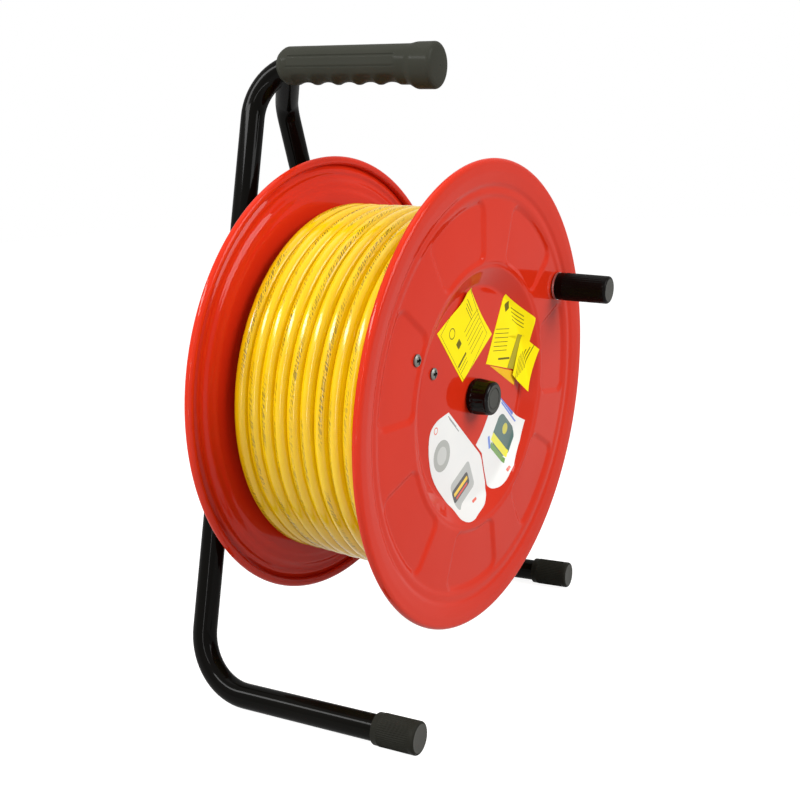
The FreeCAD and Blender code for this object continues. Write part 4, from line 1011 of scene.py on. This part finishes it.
@dataclass(frozen=True)
class RibbedSleeve:
    """A moulded plastic end: a smooth collar, a body with fine ribs and a rounded grey end face."""

    name: str
    length: float
    base_radius: float
    end_radius: float
    collar: float
    smooth_end: float
    ribs: int = 44
    rib_depth: float = 0.4
    rib_points: int = 6
    rib_start: float = 0.9
    rib_stop: float = 0.7
    rounding: float = 2.2
    rounding_rows: int = 9
    groove: float = 0.25
    groove_start: float = 0.3
    chamfer: float = 0.6
    bore: float = 9.0
    dish: float = 0.35
    dish_rows: tuple[Pair, ...] = ((0.0, 1.0), (0.6, 0.8))
    dish_lip: Pair = (0.97, 0.05)
    end_ring: float = 0.0
    ring_rows: tuple[Triple, ...] = ((-0.5, 0.6, 0.0), (-0.2, 1.0, 0.5), (0.3, 1.0, 0.5), (0.6, 0.4, 0.0))

    def _radius(self, along: float) -> float:
        """The sleeve's radius at a place along it."""
        return self.end_radius + (self.base_radius - self.end_radius) * along / self.length

    def _sleeve_rows(self) -> np.ndarray:
        """The sleeve's outline.

        Returns:
            Radius, place along the sleeve and share of the ribs' depth, row by row.
        """
        arc = np.radians(np.linspace(0, 90, self.rounding_rows))
        made = [(self.end_radius - self.rounding + self.rounding * math.sin(a),
                 self.rounding * (1 - math.cos(a)), 0.0) for a in arc]
        start, end = self.smooth_end, self.length - self.collar
        made += [(self._radius(along), along, depth) for along, depth in (
            (start, 0.0), (start + self.rib_start, 1.0), ((start + end) / 2, 1.0), (end - self.rib_stop, 1.0),
            (end, 0.0))]
        low = self._radius(end) - self.groove
        made += [(low, end + self.groove_start, 0.0), (low, self.length - self.chamfer, 0.0)]
        made += [(self._radius(self.length) - self.chamfer, self.length, 0.0), (self.bore, self.length, 0.0)]
        return np.array(made)

    def _face_rows(self) -> np.ndarray:
        """The dished end face's outline.

        Returns:
            Radius and depth, row by row.
        """
        rim = self.end_radius - self.rounding
        made = [(rim * share, self.dish * depth) for share, depth in self.dish_rows]
        if self.end_ring:
            made += [(self.end_ring + off, self.dish * depth + rise) for off, depth, rise in self.ring_rows]
        lip, lip_depth = self.dish_lip
        return np.array([*made, (rim * lip, lip_depth), (rim, 0.0)])

    def build(
        self, place: Matrix, body: Body, slot: Slot, palette: Palette, node: str, floor: float | None = None,
        finish: str | None = None,
    ) -> None:
        """Builds the sleeve and its end face.

        Args:
            place: from the sleeve's own frame, with its end face at 0 and its base along +Y, to the part's.
            body: the body that it moves with.
            slot: the record's slot.
            palette: the materials.
            node: the node that it replaces.
            floor: a height in metres under which nothing reaches, where the piece stands on the floor.
            finish: the sleeve's finish, where it isn't the slot's.
        """
        angle = np.linspace(0, FULL_TURN, self.ribs * self.rib_points, endpoint=False)
        table = self._sleeve_rows()
        radius = table[:, :1] - self.rib_depth * table[:, 2:] * (0.5 + 0.5 * np.cos(angle * self.ribs))
        sleeve = Maker.lattice(self.name + "_sleeve", around(radius, table[:, 1:2], angle), place, sharp=50.0)
        end = Maker.turned(self.name + "_end_face", self._face_rows(), place, count=64, sharp=60.0)
        if floor is not None:
            for made in (sleeve, end):
                for vertex in made.data.vertices:
                    vertex.co.z = max(vertex.co.z, floor)
        Maker.dress(sleeve, body, slot, palette.get(finish or slot.value), node)
        Maker.dress(end, body, slot, palette.get("end_face"))


@dataclass(frozen=True)
class HandleGrip:
    """The moulded grip: a flared front end, flat side panels between lines and hollows for the fingers."""

    centre: float = -14.37
    front: float = -46.2
    height: float = 494.9
    slope: float = 4.35
    length: float = 144.5
    radius: float = 15.3
    collar_radius: float = 17.6
    collar_drop: float = 1.1
    collar: float = 19.0
    flare: float = 9.0
    flare_start: float = 7.0
    tail: float = 7.0
    tail_depth: float = 3.6
    tail_power: float = 1.6
    panel_middle: float = 10.0
    panel_half: float = 17.0
    panel_start: float = 31.0
    panel_start_ease: float = 4.0
    panel_end: float = 134.0
    panel_rise: float = 0.3
    line_half: float = 3.4
    line_ease: float = 2.4
    line_depth: float = 0.75
    seam: float = 124.0
    seam_half: float = 0.6
    seam_depth: float = 0.2
    wave_pitch: float = 19.9
    wave_first: float = 42.0
    wave_depth: float = 2.1
    wave_radius: float = 20.0
    wave_count: int = 5
    wave_start: float = 0.45
    wave_ease: float = 0.35
    row_stretches: tuple[tuple[float, int], ...] = ((20.0, 12), (138.0, 150))
    tail_rows: int = 14
    columns: int = 144
    face_rows: tuple[Pair, ...] = ((0.02, 0.0), (0.35, 0.1), (0.58, 0.35))
    face_edge: float = 0.6
    rounding: Pair = (5.5, 3.9)
    rounding_rows: int = 12
    bore: float = 10.05

    def place(self) -> Matrix:
        """From the grip's own frame, with its front end at 0 and its rear along +Y, to the part's frame."""
        spot = Matrix.Translation((self.centre * MM, self.front * MM, self.height * MM))
        return spot @ Matrix.Rotation(math.radians(self.slope), 4, "X") @ Matrix.Scale(MM, 4)

    def _flare(self, along: np.ndarray) -> np.ndarray:
        """The share of the flare along the grip: 1 at the collar and 0 on the body."""
        return smooth((self.collar + self.flare_start - along) / self.flare)

    def _size(self, along: np.ndarray) -> np.ndarray:
        """The body with the flared front end and the rounded rear.

        Args:
            along: places along the grip.

        Returns:
            Its radius there.
        """
        size = self.radius + (self.collar_radius - self.radius) * self._flare(along)
        tail = np.clip((along - (self.length - self.tail)) / self.tail, 0, 1)
        return size - self.tail_depth * tail ** self.tail_power

    def _hollow(self, along: np.ndarray) -> np.ndarray:
        """The finger hollows.

        Args:
            along: places along the grip.

        Returns:
            Their depth there.
        """
        depth = np.zeros_like(along)
        for k in range(self.wave_count):
            off = along - (self.wave_first + self.wave_pitch * k)
            arc = self.wave_radius - np.sqrt(np.maximum(self.wave_radius ** 2 - off ** 2, 0))
            depth = np.maximum(depth, self.wave_depth - arc)
        return depth

    def _panel(self, along: np.ndarray, up: np.ndarray) -> np.ndarray:
        """The flat side panels with their lines and their seam.

        Args:
            along: places along the grip.
            up: the sine of the turn round the grip.

        Returns:
            How deep they lie there.
        """
        beyond = np.abs(np.degrees(np.arcsin(np.clip(up, -1, 1))) - self.panel_middle)
        within = beyond < self.panel_half
        flat = np.cos(np.radians(self.panel_half)) / np.cos(np.radians(np.minimum(beyond, self.panel_half)))
        line = smooth((self.line_half - np.abs(beyond - self.panel_half)) / self.line_ease)
        seam = (np.abs(along - self.seam) < self.seam_half) * within
        depth = (self.radius - self.panel_rise) * (1 - flat) * within
        inside = smooth((along - self.panel_start) / self.panel_start_ease) * smooth(self.panel_end - along)
        return (depth + self.line_depth * line + self.seam_depth * seam) * inside

    def build(self, palette: Palette) -> None:
        """Builds the grip and dresses it.

        Args:
            palette: the materials.
        """
        start = self.face_edge + self.rounding[1]
        along = stretches(start, *self.row_stretches, (self.length, self.tail_rows))
        angle = np.linspace(-math.pi, math.pi, self.columns, endpoint=False)
        below = smooth((-np.sin(angle) - self.wave_start) / self.wave_ease)
        reach = self._size(along)[:, None] - self._hollow(along)[:, None] * below
        reach = reach - self._panel(along[:, None], np.sin(angle))
        drop = self.collar_drop * self._flare(along)
        points = around(reach, along[:, None], angle)
        points[..., 2] -= drop[:, None]
        inward, forward = self.rounding
        turns = np.radians(np.linspace(90, 0, self.rounding_rows, endpoint=False))
        face = [*self.face_rows, *((1 - inward * (1 - math.cos(turn)) / self.collar_radius,
                                    self.face_edge + forward * (1 - math.sin(turn))) for turn in turns)]
        front = np.array([around(reach[0] * scale, level, angle) for scale, level in face])
        front[..., 2] -= drop[0]
        bore = points[-1:].copy()
        bore[..., ::2] *= self.bore / np.hypot(bore[..., 0], bore[..., 2])[..., None]
        made = Maker.lattice(
            "handle_grip_moulding", np.concatenate([front, points, bore]), self.place(), sharp=40.0)
        Maker.dress(made, Body.STAND, Slot.GRIP, palette.get("grip_plastic"), "handle_grip")


@dataclass(frozen=True)
class Label:
    """A tag or sticker on the front flange, with plain generic shapes in place of its print."""

    name: str
    outline: tuple[tuple[float, ...], ...]
    finish: str
    lift: float = 0.25
    curl: float = 0.0
    curl_from: Pair = (0.0, 0.0)
    curl_to: Pair = (1.0, 0.0)
    curl_power: float = 1.6
    spacing: float = 1.6
    corner_points: int = 9
    rings: int = 26
    thickness: float = 0.2
    clearance: float = 0.02

    def _edge(self) -> np.ndarray:
        """The outline as many points; a corner with a third number is rounded over that length.

        Returns:
            The points.
        """
        spots = [np.array(item[:2], float) for item in self.outline]
        edge: list[np.ndarray] = []
        for k, (item, spot) in enumerate(zip(self.outline, spots)):
            if len(item) < 3:
                edge.append(spot)
                continue
            before, after = spots[k - 1] - spot, spots[(k + 1) % len(spots)] - spot
            start = spot + before * min(0.5, item[2] / np.linalg.norm(before))
            stop = spot + after * min(0.5, item[2] / np.linalg.norm(after))
            edge += [start * (1 - t) ** 2 + 2 * spot * t * (1 - t) + stop * t ** 2
                     for t in np.linspace(0, 1, self.corner_points)]
        parts = []
        for a, b in zip(edge, edge[1:] + edge[:1]):
            steps = max(1, int(np.linalg.norm(b - a) / self.spacing))
            parts += [a + (b - a) * t for t in np.linspace(0, 1, steps, endpoint=False)]
        return np.array(parts)

    def build(self, flange: Flange, palette: Palette) -> None:
        """Builds the label on its flange and dresses it.

        Args:
            flange: the flange under it.
            palette: the materials.
        """
        edge = self._edge()
        centre = edge.mean(0)
        flat = centre + (edge[None] - centre) * np.linspace(0, 1, self.rings)[:, None, None]
        across, up = flat[..., 0], flat[..., 1]
        face = flange.surface(np.hypot(across, up), np.degrees(np.arctan2(up, across)))
        start, stop = np.array(self.curl_from), np.array(self.curl_to)
        way = stop - start
        part = np.clip(((flat - start) @ way) / (way @ way), 0, None)
        height = face + self.lift + self.curl * part ** self.curl_power
        points = np.stack([across, height * flange.side.value, up], -1)
        rim = points[-1:].copy()
        rim[..., 1] -= flange.side.value * min(self.lift - self.clearance, self.thickness)
        made = Maker.lattice(self.name, np.concatenate([points, rim]), SEAT.place(), sharp=50.0)
        spots = np.concatenate([flat, flat[-1:]]).reshape(-1, 2)
        index = np.empty(len(made.data.loops), np.int32)
        made.data.loops.foreach_get("vertex_index", index)
        sheet = made.data.uv_layers.new(name="sheet")
        sheet.data.foreach_set("uv", spots[index].astype(np.float32).ravel())
        Maker.dress(made, Body.DRUM, Slot.DRUM_PAINT, palette.get(self.finish))


LABELS = (
    Label("tag_left", ((-17.1, 92.3), (-23.8, 80.4, 10.0), (-61.4, 61.7), (-20.2, 15.8), (30.2, 46.8)),
          "tag_left", curl=4.0, curl_from=(-22.0, 66.0), curl_to=(-17.1, 92.3)),
    Label("tag_right", ((51.4, 77.9), (94.7, 51.7), (94.1, 28.8), (87.6, 34.0), (80.2, 37.8), (71.7, 8.7),
                        (20.5, 22.9)), "tag_right"),
    # The right tag's folded underside, coloured with painted shade.
    Label("tag_under", ((27.5, 20.2), (79.0, 5.0), (75.6, -6.6)), "tag_fold_painted_shade", lift=0.2),
    # A strip on the side of the right tag's fold, coloured with painted shade.
    Label("tag_crease_painted_shade", ((80.0, 38.9), (87.2, 36.2), (74.4, 7.8), (61.2, 11.9)), "tag_shade", lift=0.6,
          curl=0.5, curl_from=(70.0, 26.0), curl_to=(81.0, 22.5)),
    Label("tag_flap", ((85.4, 37.2), (100.6, 22.8), (88.8, -14.3), (69.0, 4.3), (71.6, 8.6)), "tag_right",
          lift=1.4, curl=5.0, curl_from=(76.0, 22.0), curl_to=(97.0, 6.0)),
    Label("sticker_left", (
        (-41.9, -4.6), (3.8, -45.7), (15.0, -55.4, 6.0), (25.6, -89.0, 8.0), (13.2, -98.9, 6.0),
        (-10.8, -104.0, 5.0), (-22.1, -102.7, 5.0), (-32.6, -97.0, 5.0), (-36.1, -88.1, 5.0),
        (-67.3, -55.2, 18.0), (-73.8, -28.8, 12.0), (-71.0, -13.4, 6.0), (-60.4, -7.1, 6.0)), "sticker_left"),
    Label("sticker_right", (
        (38.5, -4.2), (89.8, -41.6), (80.3, -58.0), (65.8, -77.4), (52.1, -87.5, 6.0),
        (41.1, -91.0, 5.0), (31.2, -90.4, 4.0), (27.6, -87.0, 3.0), (21.3, -69.0), (16.8, -54.2),
        (5.5, -43.9), (15.1, -36.8, 8.0), (24.7, -26.7, 8.0), (29.9, -19.1, 6.0), (33.2, -11.0)),
        "sticker_right", lift=0.18),
)


@dataclass(frozen=True)
class PanScrew:
    """A pan-head screw with a cross recess."""

    name: str
    place: Matrix
    shank: float
    node: str
    head_radius: float = 4.6
    head_rows: tuple[tuple[float, int], ...] = ((0.62, 19), (1.0, 8))
    head_height: float = 2.6
    head_flatness: float = 3.2
    head_fall: float = 0.55
    shank_radius: float = 2.5
    shank_chamfer: float = 0.4
    cross_half: float = 1.0
    cross_reach: float = 2.9
    cross_depth: float = 2.0
    cross_slope: float = 0.35
    shaded_from: float = 0.7
    columns: int = 96

    def build(self, body: Body, palette: Palette) -> None:
        """Builds the screw, whose head looks along -Y of its place and stands on it, and dresses it.

        Args:
            body: the body that it moves with.
            palette: the materials.
        """
        share = stretches(0.0, *self.head_rows)[:, None]
        angle = np.linspace(0, FULL_TURN, self.columns, endpoint=False)
        dome = self.head_height * (1 - self.head_fall * share ** self.head_flatness)
        radius = share * self.head_radius
        across, up = np.abs(radius * np.cos(angle)), np.abs(radius * np.sin(angle))
        cross = np.minimum(np.maximum(across - self.cross_half, up - self.cross_reach),
                           np.maximum(up - self.cross_half, across - self.cross_reach))
        depth = self.cross_depth * smooth(-cross / self.cross_slope)
        under = np.array([
            (self.head_radius, 0.0), (self.shank_radius, 0.0),
            (self.shank_radius, self.shank - self.shank_chamfer),
            (self.shank_radius - self.shank_chamfer, self.shank), (0.0, self.shank)])
        head, wall = around(radius, depth - dome, angle), around(under[:, :1], under[:, 1:], angle)
        made = Maker.lattice(self.name, np.concatenate([head, wall]), self.place, sharp=38.0)
        Maker.dress(made, body, Slot.STEEL, palette.get("screw_steel"), self.node)
        # The faces deeper in the cross recess than shaded_from take a near-black material: painted shade in
        # the recess.
        made.data.materials.append(palette.get("screw_recess_painted_shade"))
        painted_shade_index = np.zeros(len(made.data.polygons), dtype=np.int32)
        deep = (depth[:-1] > self.shaded_from).ravel()
        painted_shade_index[:len(deep)] = deep
        made.data.polygons.foreach_set("material_index", painted_shade_index)


@dataclass(frozen=True)
class Lamp:
    """A soft rectangular lamp that looks at the object's middle, in metres and watts."""

    name: str
    place: Triple
    size: Pair
    power: float
    aim: Triple = (0.0, 0.0, 0.25)

    def build(self) -> None:
        """Hangs the lamp."""
        data = bpy.data.lights.new(self.name, "AREA")
        data.shape = "RECTANGLE"
        data.size, data.size_y = self.size
        data.energy = self.power
        made = bpy.data.objects.new(self.name, data)
        made.location = self.place
        made.rotation_euler = (Vector(self.aim) - Vector(self.place)).to_track_quat("-Z", "Y").to_euler()
        bpy.context.scene.collection.objects.link(made)


@dataclass(frozen=True)
class Studio:
    """The floor, the light and the camera, in metres."""

    eye: Triple = (-0.7324, -0.4007, 0.4195)
    right: Triple = (0.4803, -0.87572, -0.04915)
    up: Triple = (0.22225, 0.06731, 0.97266)
    back: Triple = (-0.84848, -0.4781, 0.22696)
    lens: float = 44.90
    sensor: float = 36.0
    nearest: float = 0.01
    floor_half: float = 6.0
    floor_drop: float = 0.0002
    floor_grey: float = 0.36
    floor_roughness: float = 0.9
    floor_glow: float = 0.92
    sky_strength: float = 0.30
    lamps: tuple[Lamp, ...] = (
        Lamp("front_lamp", (0.10, -2.1, 1.50), (1.4, 1.4), 52.0),
        Lamp("rear_lamp", (-1.37, 0.82, 1.53), (1.50, 0.36), 38.0),
        Lamp("side_strip", (-1.05, -0.18, 0.41), (0.05, 0.80), 2.4),
        Lamp("top_lamp", (0.3, 0.3, 2.3), (1.2, 1.2), 5.0),
    )

    def floor(self) -> None:
        """A plain pale floor that keeps the shadow and shows as white."""
        far = self.floor_half
        sheet = np.array([[(x, y, 0.0) for x in (-far, far)] for y in (-far, far)])
        place = Matrix.Translation((0, 0, -self.floor_drop))
        made = Maker.lattice("floor", sheet, place, close_columns=False)
        material = bpy.data.materials.new("pale_floor")
        material.use_nodes = True
        wiring = Wiring(material.node_tree)
        wiring.feed(material.node_tree.nodes["Principled BSDF"], {
            "Base Color": (self.floor_grey, self.floor_grey, self.floor_grey, 1.0),
            "Roughness": self.floor_roughness, "Specular IOR Level": 0.0, "Emission Color": WHITE,
            "Emission Strength": wiring.maths("MULTIPLY", wiring.directly_seen(), self.floor_glow)})
        made.data.materials.append(material)

    def world(self) -> None:
        """Even light from all round, which shows as white behind the object."""
        world = bpy.data.worlds.new("studio")
        bpy.context.scene.world = world
        world.use_nodes = True
        wiring, nodes = Wiring(world.node_tree), world.node_tree.nodes
        light = wiring.feed(nodes["Background"], {"Color": WHITE, "Strength": self.sky_strength})
        white = wiring.node("Background", {"Color": WHITE})
        mix = wiring.node("MixShader", {0: wiring.directly_seen(), 1: light.outputs[0], 2: white.outputs[0]})
        wiring.feed(nodes["World Output"], {0: mix.outputs[0]})

    def camera(self) -> None:
        """The camera at the photograph's place and angle."""
        data = bpy.data.cameras.new("camera")
        data.lens = self.lens
        data.sensor_width = self.sensor
        data.clip_start = self.nearest
        made = bpy.data.objects.new("camera", data)
        turn = Matrix((self.right, self.up, self.back)).transposed().to_4x4()
        made.matrix_world = Matrix.Translation(self.eye) @ turn
        bpy.context.scene.collection.objects.link(made)
        bpy.context.scene.camera = made

    def build(self) -> None:
        """Sets up the whole studio."""
        bpy.context.scene.view_settings.view_transform = "Standard"
        self.camera()
        self.world()
        self.floor()
        for lamp in self.lamps:
            lamp.build()
        LOG.info("studio ready")


@dataclass(frozen=True)
class CarriedNodes:
    """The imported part's nodes by the finish that each takes; a node that is replaced takes one as well."""

    finishes: tuple[tuple[str, tuple[str, ...]], ...] = (
        ("stand_paint", ("frame_tube_left", "frame_tube_right", "crossbar")),
        ("drum_paint", ("front_flange", "rear_flange", "drum_core")),
        ("bright_steel", (
            "axle", "axle_washer_front", "axle_washer_rear", "axle_nut", "knob_stud", "knob_washer",
            "knob_clip", "cord_clamp_bar", "cord_clamp_nuts", "outlet_plate_screws")),
        ("screw_steel", ("cord_clamp_screws",)),
        ("knob_plastic", ("hub_cap", "winding_knob")),
        ("end_face", ("knob_end_cap",)),
        ("grip_plastic", ("handle_grip",)),
        ("cap_plastic", ("foot_cap_left", "foot_cap_right")),
        ("bush_plastic", ("front_bush", "rear_bush")),
        ("cord_jacket", ("cord_outer_layer", "cord_inner_layers")),
        ("plug_rubber", ("plug_body",)),
        ("brass_pins", ("plug_pins",)),
        ("outlet_plastic", ("outlet_plate", "outlets", "cutout_case")),
        ("button_plastic", ("cutout_button",)),
    )

    def dress(self, nodes: dict[str, bpy.types.Object], palette: Palette) -> None:
        """Gives every node its material.

        Args:
            nodes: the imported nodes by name.
            palette: the materials.
        """
        finish_of = {node: finish for finish, names in self.finishes for node in names}
        for name, item in nodes.items():
            material = palette.get(finish_of[name])
            if item.material_slots:
                for slot in item.material_slots:
                    slot.material = material
            else:
                item.data.materials.append(material)
        LOG.info("%d nodes dressed", len(nodes))


@dataclass(frozen=True)
class Reel:
    """The whole reel, sub-assembly by sub-assembly."""

    first_pad: float = 6.286
    rear_softness: float = 0.7
    rear_profile: tuple[Pair, ...] = (
        *INNER_PROFILE, (172.0, 77.4), (175.6, 78.2), (177.6, 76.4), (179.4, 76.4), (182.6, 78.8),
        (187.4, 78.96), (192, 78.96))
    knob: RibbedSleeve = RibbedSleeve(
        "winding_knob", length=47.9, base_radius=12.6, end_radius=12.3, collar=7.0, smooth_end=5.0, ribs=36,
        rib_depth=0.25, bore=4.1)
    knob_radius: float = 155.1
    knob_angle: float = 29.1
    knob_end: float = 125.0
    hub: RibbedSleeve = RibbedSleeve(
        "hub_cap", length=18.1, base_radius=15.2, end_radius=13.9, collar=3.0, smooth_end=3.2, ribs=22,
        rib_depth=0.35, bore=11.1, rounding=2.4, end_ring=8.6)
    hub_base: float = 64.0
    clamp_angle: float = 154.5
    clamp_radii: Pair = (117.4, 74.0)
    clamp_seats: Pair = (72.0, 63.0)
    clamp_tip: float = 50.5
    foot_side: float = 161.3
    foot_front: float = -81.5
    foot_height: float = 12.26
    foot_slope: float = -0.81

    def drum(self, palette: Palette) -> None:
        """Builds the drum: flanges, winding, labels and clamp screws.

        Args:
            palette: the materials.
        """
        front = Flange(Side.FRONT, self.first_pad)
        front.build(palette)
        rear = Flange(Side.REAR, pad_depth=0.0, profile=self.rear_profile, softness=self.rear_softness)
        rear.build(palette)
        Winding().build(palette)
        for label in LABELS:
            label.build(front, palette)
        for number, (radius, seat) in enumerate(zip(self.clamp_radii, self.clamp_seats), 1):
            place = SEAT.place(radius, self.clamp_angle, -seat)
            screw = PanScrew("clamp_screw_%d" % number, place, seat - self.clamp_tip, "cord_clamp_screws")
            screw.build(Body.DRUM, palette)

    def turning_pieces(self, palette: Palette) -> None:
        """Builds the winding knob, and the hub cap in front of the drum.

        Args:
            palette: the materials.
        """
        knob_place = SEAT.place(self.knob_radius, self.knob_angle, -self.knob_end)
        self.knob.build(knob_place, Body.KNOB, Slot.KNOB, palette, "winding_knob")
        hub_place = SEAT.place(along=-(self.hub_base + self.hub.length))
        self.hub.build(hub_place, Body.STAND, Slot.KNOB, palette, "hub_cap", finish="hub_plastic")

    def stand(self, palette: Palette) -> None:
        """Builds the grip and the two foot caps.

        Args:
            palette: the materials.
        """
        HandleGrip().build(palette)
        for name, side in (("foot_cap_left", -1), ("foot_cap_right", 1)):
            across = side * self.foot_side * MM
            spot = Matrix.Translation((across, self.foot_front * MM, self.foot_height * MM))
            place = spot @ Matrix.Rotation(math.radians(self.foot_slope), 4, "X") @ Matrix.Scale(MM, 4)
            cap = RibbedSleeve(
                name, length=36.0, base_radius=12.45, end_radius=12.45, collar=5.0, smooth_end=4.5, ribs=48,
                rib_depth=0.5, bore=10.0, rounding=1.8)
            cap.build(place, Body.STAND, Slot.CAP, palette, name, floor=0.0)

    def build(self, palette: Palette) -> None:
        """Builds every sub-assembly.

        Args:
            palette: the materials.
        """
        self.drum(palette)
        self.turning_pieces(palette)
        self.stand(palette)


def corners(box: tuple[Vector, Vector]) -> list[list[float]]:
    """A box's lowest and highest corner as plain lists."""
    return [[float(value) for value in corner] for corner in box]


def main() -> None:
    """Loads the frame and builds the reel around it."""
    logging.basicConfig(level=logging.INFO, format="%(name)s: %(message)s")
    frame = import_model()
    palette = Palette()
    CarriedNodes().dress(frame["nodes"], palette)
    Studio().build()
    Reel().build(palette)
    bpy.context.view_layer.update()


if __name__ == "__main__":
    main()
